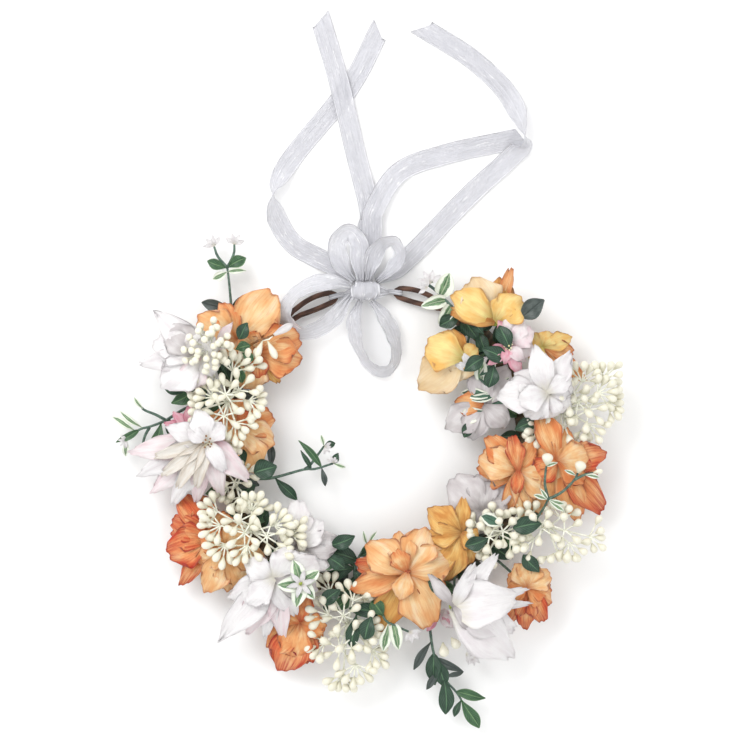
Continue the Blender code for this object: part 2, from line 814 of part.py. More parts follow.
def segments_gap(first, second):
    """The least distance between two stems, each a list of points."""
    shares = np.linspace(0, 1, 10)
    clouds = []
    for points in (first, second):
        cloud = []
        for a, b in zip(points, points[1:]):
            cloud += [np.array(a) + (np.array(b) - np.array(a)) * s for s in shares]
        clouds.append(np.array(cloud))
    gaps = clouds[0][:, None, :] - clouds[1][None, :, :]
    return float(np.sqrt((gaps**2).sum(axis=2)).min())


def choose_roots(heads):
    """Gives each stem its place on the tape: near its head, facing it, and clear of the other stems."""
    stand_off = TAPE_OUTER + STEM_RADIUS + CLEARANCE
    needed = 2 * STEM_RADIUS + 4 * CLEARANCE
    placed = []
    for head in heads:
        target = head.path[0]
        best = None
        for shift in ROOT_SHIFTS:
            around = head.around + shift
            centre = polar(around, 0, BAND_HEIGHT)
            outward = polar(around, 1, 0) - polar(around, 0, 0)
            for section in range(0, 181, 15):
                angle = math.radians(section)
                normal = outward * math.cos(angle) + UP * math.sin(angle)
                root = centre + normal * stand_off
                facing = (target - root).normalized().dot(normal)
                room = min((segments_gap([root, *head.path], other) for other in placed), default=1.0)
                score = (target - root).length + CROWDING_COST * max(needed - room, 0)
                score += FACING_COST * max(LEAST_FACING - facing, 0)
                if best is None or score < best[0]:
                    best = (score, root)
        head.root = best[1]
        placed.append([head.root, *head.path])


def tree_of(parts, turn=None):
    """A search tree over the faces of these pieces, and the spokes of each face."""
    vertices, faces, spokes = [], [], []
    for points, polygons, owners in parts:
        base = len(vertices)
        vertices += [turn @ p for p in points] if turn else points
        faces += [tuple(base + i for i in polygon) for polygon in polygons]
        spokes += owners
    return BVHTree.FromPolygons(vertices, faces), spokes, vertices


def shrink_heads(heads, solids):
    """Draws in each spoke that meets another head, a solid of the band or bow, or the table."""
    swell = ROOM
    floor = CLEARANCE
    for _ in range(DRAW_IN_ROUNDS):
        trees = [[tree_of(head.pieces(swell), turn) for turn in head.poses()] for head in heads]
        touched = [set() for _ in heads]
        for i, head in enumerate(heads):
            for k in low_spokes(head, swell, floor):
                touched[i].add(k)
            for tree, spokes, _ in trees[i]:
                for solid in solids:
                    for face, _ in tree.overlap(solid):
                        touched[i].update(spokes[face])
            for j in range(i):
                for first, first_spokes, _ in trees[i]:
                    for second, second_spokes, _ in trees[j]:
                        for a, b in first.overlap(second):
                            touched[i].update(first_spokes[a])
                            touched[j].update(second_spokes[b])
        if not any(touched):
            return
        for head, spokes in zip(heads, touched):
            for k in spokes:
                head.reach[k] *= DRAW_IN


def low_spokes(head, swell, floor):
    """The spokes of the head that reach below the table."""
    found = set()
    for vertices, faces, spokes in head.pieces(swell):
        for polygon, owners in zip(faces, spokes):
            if min(vertices[i].z for i in polygon) < floor:
                found.update(owners)
    return found


def solid_tree(obj):
    """A search tree over an object's faces, in world space."""
    points = [obj.matrix_world @ v.co for v in obj.data.vertices]
    return BVHTree.FromPolygons(points, [tuple(p.vertices) for p in obj.data.polygons])


def make_head(head):
    """One closed solid from the head's pieces, each joined on by a Boolean union."""
    pieces = head.pieces(0)
    vertices, faces, _ = pieces[0]
    made = add_object(head.name, vertices, faces, head.paint, origin=head.root)
    for vertices, faces, _ in pieces[1:]:
        outgrowth = add_object(head.name + "_outgrowth", vertices, faces, head.paint)
        union = made.modifiers.new("join", "BOOLEAN")
        union.operation = "UNION"
        union.solver = "MANIFOLD"
        union.object = outgrowth
        graph = bpy.context.evaluated_depsgraph_get()
        joined = bpy.data.meshes.new_from_object(made.evaluated_get(graph))
        made.modifiers.remove(union)
        made.data = joined
        bpy.data.objects.remove(outgrowth)
    fill_cavities(made.data)


def fill_cavities(mesh):
    """Removes the shells that enclose a void, where leaves or berries cross round it."""
    shape = bmesh.new()
    shape.from_mesh(mesh)
    reached = set()
    inner = []
    for start in shape.faces:
        if start in reached:
            continue
        reached.add(start)
        shell = [start]
        for face in shell:
            # four faces meet along an edge where two shells touch
            whole = [edge for edge in face.edges if len(edge.link_faces) == 2]
            beside = [f for edge in whole for f in edge.link_faces if f not in reached]
            for f in beside:
                if f not in reached:
                    reached.add(f)
                    shell.append(f)
        corner = shell[0].verts[0].co
        volume = 0
        for face in shell:
            a, *others = [v.co - corner for v in face.verts]
            volume += sum(a.dot(b.cross(c)) for b, c in zip(others, others[1:]))
        if volume < 0:
            inner += shell
    if inner:
        bmesh.ops.delete(shape, geom=inner, context="FACES")
        shape.to_mesh(mesh)
    shape.free()


def palette():
    return {
        "paper_wrap": material("paper_wrap", (0.075, 0.035, 0.02), 0.75),
        "vine": material("vine", (0.11, 0.05, 0.025), 0.8),
        "floral_tape": material("floral_tape", (0.06, 0.04, 0.02), 0.7),
        "organza": material("organza", (0.75, 0.75, 0.8), 0.35),
        "peach_silk": material("peach_silk", (0.93, 0.5, 0.22), 0.7),
        "orange_silk": material("orange_silk", (0.86, 0.3, 0.08), 0.7),
        "red_silk": material("red_silk", (0.74, 0.12, 0.03), 0.7),
        "yellow_silk": material("yellow_silk", (0.93, 0.66, 0.16), 0.7),
        "white_silk": material("white_silk", (0.85, 0.83, 0.84), 0.65),
        "pink_silk": material("pink_silk", (0.87, 0.4, 0.5), 0.65),
        "ivory_berry": material("ivory_berry", (0.84, 0.82, 0.68), 0.5),
        "green_leaf": material("green_leaf", (0.03, 0.09, 0.04), 0.5),
        "cream_leaf": material("cream_leaf", (0.45, 0.58, 0.42), 0.5),
    }


def main():
    clear_scene()
    paint = palette()
    make_band(paint)
    for sleeve in SLEEVES:
        make_sleeve(*sleeve, paint)
    make_knot(paint)
    make_ribbons(paint)
    bpy.context.view_layer.update()
    solids = [solid_tree(obj) for obj in bpy.context.scene.objects]
    heads = crown_heads(paint)
    choose_roots(heads)
    shrink_heads(heads, solids)
    for head in heads:
        make_head(head)


main()
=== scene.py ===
import math

import bpy
import numpy as np
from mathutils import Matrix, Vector


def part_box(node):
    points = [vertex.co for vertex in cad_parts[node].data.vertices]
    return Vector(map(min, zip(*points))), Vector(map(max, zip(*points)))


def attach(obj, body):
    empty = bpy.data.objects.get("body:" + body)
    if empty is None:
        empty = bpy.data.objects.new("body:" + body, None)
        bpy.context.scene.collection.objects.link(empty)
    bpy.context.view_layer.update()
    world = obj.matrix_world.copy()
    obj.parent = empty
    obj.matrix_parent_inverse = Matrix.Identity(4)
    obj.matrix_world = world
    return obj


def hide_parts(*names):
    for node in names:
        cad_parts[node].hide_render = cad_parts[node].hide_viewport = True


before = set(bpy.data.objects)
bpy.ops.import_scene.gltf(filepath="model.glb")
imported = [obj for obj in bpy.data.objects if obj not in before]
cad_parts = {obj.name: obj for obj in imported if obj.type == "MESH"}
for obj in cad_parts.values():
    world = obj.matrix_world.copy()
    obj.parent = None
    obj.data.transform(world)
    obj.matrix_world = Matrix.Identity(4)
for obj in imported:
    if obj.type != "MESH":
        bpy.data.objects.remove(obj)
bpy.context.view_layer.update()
mm = 0.001
ringRadius = 90  # from the ring's middle to the band's own line, in millimetres
wholeTurn = 6.283  # radians
anyPhase = 6.28  # waves start anywhere up to this
goldenTurn = 2.4  # radians between neighbours that fill a disc evenly


def tint(red, green, blue):
    # an everyday 0 to 255 colour as Blender's linear one
    linear = []
    for value in (red, green, blue):
        share = value / 255
        linear.append(share / 12.92 if value < 10.3 else ((share + 0.055) / 1.055) ** 2.4)
    return (*linear, 1)


class Wire:
    # a node's output that takes part in sums
    def __init__(self, finish, socket):
        self.finish = finish
        self.socket = socket

    def math(self, operation, first, second=0.0):
        return self.finish.node("ShaderNodeMath", {"operation": operation}, {0: first, 1: second})

    def __add__(self, other):
        return self.math("ADD", self, other)

    def __radd__(self, other):
        return self.math("ADD", other, self)

    def __sub__(self, other):
        return self.math("SUBTRACT", self, other)

    def __rsub__(self, other):
        return self.math("SUBTRACT", other, self)

    def __mul__(self, other):
        return self.math("MULTIPLY", self, other)

    def __rmul__(self, other):
        return self.math("MULTIPLY", other, self)

    def __truediv__(self, other):
        return self.math("DIVIDE", self, other)

    def __rtruediv__(self, other):
        return self.math("DIVIDE", other, self)

    def __abs__(self):
        return self.math("ABSOLUTE", self)

    def wave(self):
        return self.math("SINE", self)

    def clamped(self):
        return self.math("MINIMUM", self.math("MAXIMUM", self, 0.0), 1.0)

    def over(self, low, high):
        # 0 below low, 1 above high
        return ((self - low) / (high - low)).clamped()


class Finish:
    # one material, with the marks that every piece carries: along it, across it and a tone of its own
    def __init__(self, name, **fixed):
        self.material = bpy.data.materials.new(name)
        self.material.use_nodes = True
        self.tree = self.material.node_tree
        self.shader = self.tree.nodes["Principled BSDF"]
        for key, value in fixed.items():
            self.shader.inputs[key.replace("_", " ")].default_value = value
        self.place = self.node("ShaderNodeAttribute", {"attribute_name": "place"}, {}, "Vector")
        self.along = self.node("ShaderNodeSeparateXYZ", {}, {0: self.place}, 0)
        self.across = self.node("ShaderNodeSeparateXYZ", {}, {0: self.place}, 1)
        self.tone = self.node("ShaderNodeSeparateXYZ", {}, {0: self.place}, 2)
        self.spot = self.node("ShaderNodeTexCoord", {}, {}, "Object")

    def node(self, kind, settings, inputs, output=0):
        made = self.tree.nodes.new(kind)
        for key, value in settings.items():
            setattr(made, key, value)
        for key, value in inputs.items():
            if isinstance(value, Wire):
                self.tree.links.new(value.socket, made.inputs[key])
            else:
                made.inputs[key].default_value = value
        return Wire(self, made.outputs[output])

    def mix(self, amount, first, second):
        return self.node("ShaderNodeMix", {"data_type": "RGBA"}, {0: amount, 6: first, 7: second}, 2)

    def stretched(self, alongScale, acrossScale, toneScale=7.0):
        # a place to look up a pattern that runs along the petal and fans out from its foot
        scale = (alongScale, acrossScale, toneScale)
        return self.node("ShaderNodeVectorMath", {"operation": "MULTIPLY"}, {0: self.place, 1: scale})

    def noise(self, where, scale, detail=3.0, rough=0.5):
        inputs = {"Vector": where, "Scale": scale, "Detail": detail, "Roughness": rough}
        return self.node("ShaderNodeTexNoise", {}, inputs)

    def colour(self, wire):
        self.tree.links.new(wire.socket, self.shader.inputs["Base Color"])

    def feed(self, name, wire):
        self.tree.links.new(wire.socket, self.shader.inputs[name])

    def bump(self, height, depth, strength=1.0):
        made = self.node("ShaderNodeBump", {}, {"Height": height, "Distance": depth, "Strength": strength})
        self.tree.links.new(made.socket, self.shader.inputs["Normal"])

    def lit(self, share, glow):
        # lets light through, as thin cloth does
        through = self.node("ShaderNodeBsdfTranslucent", {}, {0: glow})
        joined = self.node("ShaderNodeMixShader", {}, {0: share, 2: through})
        self.tree.links.new(self.shader.outputs[0], joined.socket.node.inputs[1])
        self.tree.links.new(joined.socket, self.tree.nodes["Material Output"].inputs[0])


# silk, one for each colour of petal
silks = {
    # colours of the body, its patches of painted highlight (light) and painted shade (shade), the heart, rim
    # and veins, and how strong the veins, the coloured edge and the outline are
    "peach": dict(
        body=(252, 214, 158), light=(255, 234, 196), shade=(244, 178, 112), heart=(222, 116, 58),
        rim=(196, 98, 52), vein=(230, 140, 78), veins=0.55, edge=0.35, outline=0.8,
    ),
    "orange": dict(
        body=(248, 188, 124), light=(254, 216, 160), shade=(232, 136, 72), heart=(200, 78, 32),
        rim=(172, 64, 30), vein=(214, 100, 48), veins=0.75, edge=0.5, outline=0.85,
    ),
    "amber": dict(
        body=(246, 196, 112), light=(252, 218, 142), shade=(216, 144, 66), heart=(156, 82, 32),
        rim=(150, 78, 34), vein=(198, 118, 52), veins=0.65, edge=0.4, outline=0.85,
    ),
    "red": dict(
        body=(248, 176, 112), light=(253, 204, 146), shade=(238, 116, 62), heart=(186, 48, 22),
        rim=(172, 34, 18), vein=(192, 42, 18), veins=1.0, edge=1.0, outline=0.9,
    ),
    "yellow": dict(
        body=(253, 224, 150), light=(254, 238, 160), shade=(250, 196, 104), heart=(212, 204, 104),
        rim=(200, 130, 66), vein=(238, 176, 88), veins=0.4, edge=0.45, outline=0.75,
    ),
    "tan": dict(
        body=(246, 226, 188), light=(252, 238, 208), shade=(236, 204, 150), heart=(226, 192, 112),
        rim=(198, 148, 96), vein=(228, 184, 132), veins=0.45, edge=0.35, outline=0.75,
    ),
    "white": dict(
        body=(252, 250, 250), light=(255, 253, 253), shade=(240, 234, 236), heart=(240, 234, 208),
        rim=(200, 194, 196), vein=(230, 223, 225), veins=0.4, edge=0.0, outline=0.45,
    ),
    "cream": dict(
        body=(251, 247, 240), light=(254, 252, 246), shade=(238, 228, 214), heart=(214, 188, 152),
        rim=(200, 182, 156), vein=(226, 210, 190), veins=0.6, edge=0.2, outline=0.55,
    ),
    # white silk darkened with painted shade, for petals and blooms that lie in shadow behind or under others
    "white_in_painted_shade": dict(
        body=(218, 212, 212), light=(234, 230, 230), shade=(196, 188, 189), heart=(164, 154, 152),
        rim=(160, 154, 156), vein=(198, 190, 191), veins=0.4, edge=0.0, outline=0.5,
    ),
    "pink": dict(
        body=(246, 192, 204), light=(252, 222, 228), shade=(240, 152, 174), heart=(224, 80, 130),
        rim=(216, 108, 142), vein=(232, 126, 158), veins=0.6, edge=0.3, outline=0.6,
    ),
    "blush": dict(
        body=(252, 242, 243), light=(255, 250, 250), shade=(246, 222, 227), heart=(238, 150, 176),
        rim=(214, 190, 196), vein=(244, 216, 222), veins=0.4, edge=0.1, outline=0.45,
    ),
}


def makeSilk(name, look):
    silk = Finish(name, Roughness=0.62)
    silk.shader.inputs["Sheen Weight"].default_value = 0.15
    silk.shader.inputs["Sheen Roughness"].default_value = 0.5
    patches = silk.noise(silk.stretched(1.5, 1.3), 1.5, 2.0)
    streaks = silk.noise(silk.stretched(0.9, 5.0), 2.2, 4.0, 0.62)
    fine = silk.noise(silk.stretched(2.2, 26.0), 2.4, 4.0, 0.7)
    # the dye gathers in a line along the sides and round the tip, and bleeds inwards from it
    sides = abs(silk.across) * silk.along.over(0.1, 0.4)
    wobble = silk.noise(silk.stretched(5.0, 5.0), 2.0, 2.0)
    outline = (sides.over(0.9, 0.99) + silk.along.over(0.945, 0.995)).clamped() * wobble.over(0.2, 0.5)
    bleed = (sides.over(0.45, 1.0) + silk.along.over(0.6, 1.05)).clamped()
    throat = (1 - silk.along.over(0.02, 0.3)) * streaks.over(0.2, 0.6)
    veins = fine.over(0.48, 0.6) * (0.35 + streaks.over(0.4, 0.65) * 0.65)
    # random patches of painted shade (the shade colour) and painted highlight (the light colour) stand in
    # for light and shadow on the petal
    face = silk.mix(patches.over(0.46, 0.66) * 0.85, tint(*look["body"]), tint(*look["shade"]))
    face = silk.mix(patches.over(0.46, 0.32) * 0.9, face, tint(*look["light"]))
    lines = (streaks.over(0.5, 0.62) * 0.35 + veins * 0.65) * look["veins"]
    face = silk.mix(lines, face, tint(*look["vein"]))
    face = silk.mix(bleed * streaks.over(0.3, 0.6) * look["edge"], face, tint(*look["vein"]))
    face = silk.mix(throat * 0.8, face, tint(*look["heart"]))
    face = silk.mix(outline * look["outline"], face, tint(*look["rim"]))
    silk.colour(face)
    silk.feed("Roughness", 0.5 + patches * 0.25)
    # crinkles along the petal, and the cloth's own weave
    threads = 7000  # radians of weave in a metre
    weave = (silk.node("ShaderNodeSeparateXYZ", {}, {0: silk.spot}, 0) * threads).wave()
    weave = weave * (silk.node("ShaderNodeSeparateXYZ", {}, {0: silk.spot}, 1) * threads).wave()
    silk.bump(streaks + fine * 0.5 + weave * 0.04, 0.9 * mm, 0.8)
    silk.lit(0.14, tint(*look["light"]))
    return silk


finishes = {name: makeSilk(name + "_petal_silk", look) for name, look in silks.items()}
print("silks mixed:", len(finishes))


def makeBerry():
    berry = Finish("ivory_drop", Roughness=0.38)
    spots = berry.noise(berry.spot, 900.0, 2.0)
    # painted shade: each drop is painted darker towards its stalk end and lighter towards its tip
    face = berry.mix(berry.along.over(0.0, 0.4), tint(204, 202, 174), tint(233, 230, 213))
    face = berry.mix(spots.over(0.5, 0.75) * 0.3, face, tint(216, 211, 186))
    face = berry.mix(berry.tone * 0.3, face, tint(220, 216, 194))
    berry.colour(face)
    berry.shader.inputs["Coat Weight"].default_value = 0.25
    berry.shader.inputs["Coat Roughness"].default_value = 0.3
    berry.bump(spots, 0.1 * mm, 0.5)
    return berry


def makeStem(name, dark, light):
    stem = Finish(name, Roughness=0.55)
    bands = stem.noise(stem.spot, 500.0, 3.0)
    stem.colour(stem.mix(bands.over(0.35, 0.7), tint(*dark), tint(*light)))
    stem.bump(bands, 0.2 * mm, 0.6)
    return stem


# each leaf: its body, darker blotches, rib and edge, where the edge starts and how strong it is
leafLooks = {
    "leafDark": dict(
        body=(46, 78, 58), deep=(26, 52, 40), rib=(104, 144, 106), edge=(74, 110, 86),
        edgeAt=0.93, edgeAmount=0.5,
    ),
    "leafMid": dict(
        body=(66, 106, 70), deep=(38, 74, 48), rib=(136, 174, 120), edge=(134, 168, 120),
        edgeAt=0.85, edgeAmount=0.6,
    ),
    "leafRimmed": dict(
        body=(78, 116, 94), deep=(46, 82, 64), rib=(52, 84, 66), edge=(240, 243, 228),
        edgeAt=0.6, edgeAmount=1.0,
    ),
    "leafPale": dict(
        body=(132, 166, 122), deep=(60, 100, 66), rib=(196, 212, 176), edge=(240, 245, 230),
        edgeAt=0.4, edgeAmount=1.0,
    ),
    "leafSlate": dict(
        body=(84, 94, 90), deep=(56, 66, 64), rib=(44, 54, 52), edge=(108, 120, 112),
        edgeAt=0.9, edgeAmount=0.5,
    ),
}


def makeLeaf(name, look):
    leaf = Finish(name, Roughness=0.42)
    blotch = leaf.noise(leaf.stretched(2.0, 1.5), 2.0, 3.0)
    grain = leaf.noise(leaf.spot, 1400.0, 2.0)
    side = abs(leaf.across)
    # side veins leave the rib at a slant
    slant = (leaf.along * 9.0 - side * 3.2) * wholeTurn
    sideVein = slant.wave().over(0.86, 1.0) * (1 - side.over(0.75, 1.0))
    rib = 1 - side.over(0.03, 0.1)
    face = leaf.mix(blotch.over(0.35, 0.65), tint(*look["body"]), tint(*look["deep"]))
    face = leaf.mix(sideVein * 0.4, face, tint(*look["rib"]))
    ragged = side + (blotch - 0.5) * 0.5 + leaf.along.over(0.8, 1.0) * 0.25
    rim = ragged.over(look["edgeAt"], look["edgeAt"] + 0.1) * look["edgeAmount"]
    face = leaf.mix(rim, face, tint(*look["edge"]))
    face = leaf.mix(rib * 0.8, face, tint(*look["rib"]))
    leaf.colour(face)
    leaf.feed("Roughness", 0.34 + grain * 0.25)
    leaf.bump(grain * 0.3 - sideVein - rib * 1.5, 0.25 * mm, 0.7)
    leaf.shader.inputs["Coat Weight"].default_value = 0.12
    leaf.lit(0.08, tint(120, 170, 80))
    return leaf


def makeWrap(name, dark, light, creases):
    wrap = Finish(name, Roughness=0.7)
    fibre = wrap.noise(wrap.stretched(1.0, 1.0), 6.0, 4.0)
    # creases wind round the strand
    turns = ((wrap.along * creases + wrap.across * 0.5 + fibre * 0.5) * wholeTurn).wave()
    grain = wrap.noise(wrap.spot, 1600.0, 4.0, 0.7)
    # painted highlight on the crease ridges and painted shade in their hollows, with the paper's own grain
    # mixed in
    face = wrap.mix(turns.over(-0.6, 0.9) * 0.55 + grain * 0.35, tint(*dark), tint(*light))
    wrap.colour(face)
    wrap.feed("Roughness", 0.55 + grain * 0.35)
    wrap.bump(turns * 0.6 + grain, 0.25 * mm, 0.9)
    return wrap


def makeOrganza():
    sheer = Finish("sheer_organza", Roughness=0.32)
    side = abs(sheer.across)
    hem = side.over(0.86, 0.94)
    creases = sheer.noise(sheer.stretched(26.0, 2.6), 1.0, 4.0, 0.6)
    long = sheer.noise(sheer.stretched(3.0, 9.0), 1.0, 3.0)
    # fine threads along and across the ribbon
    threads = (sheer.across * 160.0).wave() * 0.5 + 0.5
    weft = (sheer.along * 1900.0).wave() * 0.5 + 0.5
    # painted highlight: white glints along some of the creases; the same mask also raises the cover there
    painted_glint = creases.over(0.58, 0.72) * long.over(0.35, 0.6)
    face = sheer.mix(painted_glint, tint(228, 228, 234), tint(254, 254, 255))
    # painted shade darkens the hollows of the creases
    face = sheer.mix(creases.over(0.5, 0.3) * 0.4, face, tint(210, 211, 219))
    face = sheer.mix(hem * 0.8, face, tint(248, 248, 251))
    face = sheer.mix(side.over(0.955, 0.985) * 0.9, face, tint(176, 177, 187))
    sheer.colour(face)
    cover = 0.5 + hem * 0.4 + painted_glint * 0.3 + long.over(0.5, 0.7) * 0.14 + threads * weft * 0.06
    sheer.feed("Alpha", cover.clamped())
    sheer.bump(creases * 1.6 + long + threads * 0.06, 1.1 * mm, 0.8)
    sheer.shader.inputs["Sheen Weight"].default_value = 0.4
    sheer.shader.inputs["Sheen Roughness"].default_value = 0.3
    return sheer


# stems: name, dark and light
stemLooks = {
    "stemPale": ("ivory_stem", (228, 229, 210), (248, 248, 238)),
    "stemGreen": ("wrapped_green_stem", (58, 80, 70), (98, 124, 108)),
    "stemOlive": ("olive_calyx", (110, 128, 46), (176, 188, 84)),
    "stemBrown": ("brown_stamen", (96, 62, 36), (164, 112, 60)),
    "stemCream": ("cream_stamen", (230, 220, 160), (250, 246, 216)),
}
# wraps: name, dark, light and how many creases in the whole length
wrapLooks = {
    "paper": ("brown_paper_wrap", (48, 30, 24), (112, 78, 62), 62.0),
    "vine": ("twisted_paper_vine", (72, 44, 28), (138, 96, 66), 44.0),
    "tape": ("crepe_tape", (52, 42, 26), (96, 80, 52), 26.0),
}
finishes["berry"] = makeBerry()
for key, look in stemLooks.items():
    finishes[key] = makeStem(*look)
for key, look in leafLooks.items():
    finishes[key] = makeLeaf(key, look)
for key, look in wrapLooks.items():
    finishes[key] = makeWrap(*look)
finishes["organza"] = makeOrganza()
print("finishes ready:", len(finishes))


def smoothStep(x):
    x = min(max(x, 0.0), 1.0)
    return x * x * (3 - 2 * x)


def polar(around, out, height):
    # millimetres out from the ring's own line, and above the table
    angle = math.radians(around)
    reach = ringRadius + out
    return np.array((reach * math.cos(angle), reach * math.sin(angle), height))


def middleOf(node):
    low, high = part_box(node)
    return np.array([(a + b) / 2 / mm for a, b in zip(low, high)])


def topOf(node):
    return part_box(node)[1][2] / mm


def curveThrough(points, spacing):
    # a smooth curve through the points, each row of which may hold more than a place
    points = [np.array(p, float) for p in points]
    knots = [2 * points[0] - points[1], *points, 2 * points[-1] - points[-2]]
    found = []
    for a, b, c, d in zip(knots, knots[1:], knots[2:], knots[3:]):
        steps = max(2, round(np.linalg.norm(c[:3] - b[:3]) / spacing))
        for t in np.arange(steps) / steps:
            curve = 2 * b + (c - a) * t + (2 * a - 5 * b + 4 * c - d) * t**2 + (3 * b - a - 3 * c + d) * t**3
            found.append(curve / 2)
    found.append(points[-1])
    return np.array(found)


def places(rows, columns):
    # the share along and the place across, -1 to 1, of each point of a sheet
    return np.meshgrid(np.linspace(0, 1, rows), np.linspace(-1, 1, columns), indexing="ij")


def marksOf(along, across, tone):
    return np.stack([along, across, np.full_like(along, tone)], axis=-1)


def turned(x, y, z, heading, foot):
    # points that run out from a foot at a heading
    turn = math.radians(heading)
    rows = [x * math.cos(turn) - y * math.sin(turn), x * math.sin(turn) + y * math.cos(turn), z]
    return np.stack(rows, axis=-1) + np.asarray(foot, float)


def areaOf(grid):
    cells = np.cross(np.diff(grid, axis=0)[:, :-1], np.diff(grid, axis=1)[:-1])
    return float(np.linalg.norm(cells, axis=-1).sum())


class Maker:
    # gathers skins in millimetres into one object
    def __init__(self, name):
        self.name = name
        self.points = []
        self.marks = []
        self.faces = []
        self.paints = []
        self.used = []
        self.count = 0

    def paint(self, finish):
        if finish not in self.used:
            self.used.append(finish)
        return self.used.index(finish)

    def add(self, points, marks, faces, finish):
        faces = np.asarray(faces) + self.count
        self.points.append(points)
        self.marks.append(marks)
        self.faces.append(faces)
        self.paints.append(np.full(len(faces), self.paint(finish)))
        self.count += len(points)

    def skin(self, grid, marks, finish, thick=0.25):
        # a thin closed sheet: two faces and an edge all round
        rows, columns = grid.shape[:2]
        down = np.gradient(grid, axis=0)
        side = np.gradient(grid, axis=1)
        normal = np.cross(side, down)
        normal /= np.maximum(np.linalg.norm(normal, axis=2, keepdims=True), 1e-9)
        index = np.arange(rows * columns).reshape(rows, columns)
        a, b = index[:-1, :-1], index[1:, :-1]
        c, d = index[1:, 1:], index[:-1, 1:]
        top = np.stack([a, d, c, b], axis=-1).reshape(-1, 4)
        below = top[:, ::-1] + rows * columns
        loop = [*index[0, :-1], *index[:-1, -1], *index[-1, :0:-1], *index[:0:-1, 0]]
        rim = []
        for i, j in zip(loop, loop[1:] + loop[:1]):
            rim.append((j, i, i + rows * columns, j + rows * columns))
        layers = [(grid - normal * thick / 2).reshape(-1, 3), (grid + normal * thick / 2).reshape(-1, 3)]
        marks = np.concatenate([marks.reshape(-1, 3)] * 2)
        faces = np.concatenate([top[:, ::-1], below[:, ::-1], rim])
        self.add(np.concatenate(layers), marks, faces, finish)

    def tube(self, path, radii, finish, sides=8, tone=0.5, loop=False):
        path = np.asarray(path, float)
        radii = np.broadcast_to(radii, len(path))
        if loop:
            along = np.roll(path, -1, axis=0) - np.roll(path, 1, axis=0)
        else:
            along = np.gradient(path, axis=0)
        along /= np.maximum(np.linalg.norm(along, axis=1, keepdims=True), 1e-9)
        across = []
        steep = abs(along[0][2]) >= 0.9
        helper = np.array((1.0, 0.0, 0.0)) if steep else np.array((0.0, 0.0, 1.0))
        for direction in along:
            # each section leans on the one before, so the tube never twists
            helper = helper - direction * helper.dot(direction)
            helper /= np.linalg.norm(helper)
            across.append(helper)
        across = np.array(across)
        over = np.cross(along, across)
        angle = np.linspace(0, 2 * math.pi, sides, endpoint=False)
        ring = across[:, None] * np.cos(angle)[None, :, None]
        ring = ring + over[:, None] * np.sin(angle)[None, :, None]
        points = path[:, None] + ring * radii[:, None, None]
        rows = len(path)
        marks = np.zeros((rows, sides, 3))
        marks[:, :, 0] = np.linspace(0, 1, rows)[:, None]
        marks[:, :, 1] = (np.arange(sides) / sides * 2)[None, :]
        marks[:, :, 2] = tone
        index = np.arange(rows * sides).reshape(rows, sides)
        beside = np.roll(index, -1, axis=1)
        if loop:
            ahead = np.roll(index, -1, axis=0)
            besideAhead = np.roll(beside, -1, axis=0)
            faces = np.stack([index, beside, besideAhead, ahead], axis=-1).reshape(-1, 4)
        else:
            faces = np.stack([index[:-1], beside[:-1], beside[1:], index[1:]], axis=-1).reshape(-1, 4)
            first, last = index[0], index[-1]
            fan = range(1, sides - 1)
            ends = [(first[0], first[k + 1], first[k], first[k]) for k in fan]
            ends += [(last[0], last[k], last[k + 1], last[k + 1]) for k in fan]
            faces = np.concatenate([faces, ends])
        self.add(points.reshape(-1, 3), marks.reshape(-1, 3), faces, finish)

    def done(self, body, slot, *nodes):
        mesh = bpy.data.meshes.new(self.name)
        points = np.concatenate(self.points) * mm
        faces = np.concatenate(self.faces)
        rows = [tuple(dict.fromkeys(face)) for face in faces.tolist()]
        mesh.from_pydata(points.tolist(), [], rows)
        mesh.polygons.foreach_set("material_index", np.concatenate(self.paints))
        place = mesh.attributes.new("place", "FLOAT_VECTOR", "POINT")
        place.data.foreach_set("vector", np.concatenate(self.marks).ravel())
        for name in self.used:
            mesh.materials.append(finishes[name].material)
        mesh.shade_smooth()
        mesh.update()
        piece = bpy.data.objects.new(self.name, mesh)
        bpy.context.scene.collection.objects.link(piece)
        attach(piece, body)
        if nodes:
            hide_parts(*nodes)
        return piece


# petal outlines: where it is widest, how wide its foot and tip are, how round the tip is
outlines = {
    "round": (0.66, 0.2, 0.72, 0.42),
    "oval": (0.52, 0.3, 0.42, 0.3),
    "pointed": (0.42, 0.3, 0.05, 0.05),
    "strap": (0.4, 0.4, 0.62, 0.16),
    "tongue": (0.3, 0.5, 0.5, 0.3),
}


def halfWidth(u, outline):
    widest, foot, tip, _ = outlines[outline]
    rising = foot + (1 - foot) * np.sin(np.clip(u / widest, 0, 1) * math.pi / 2) ** 1.3
    falling = tip + (1 - tip) * np.cos(np.clip((u - widest) / (1 - widest), 0, 1) * math.pi / 2) ** 0.8
    return np.where(u < widest, rising, falling)


# what a petal has unless it says otherwise, as shares of its width or reach, and its thickness
petalShape = dict(cup=0.16, ruffle=0.04, fold=0.03, curl=0.08, crumple=0.014, thick=0.2)


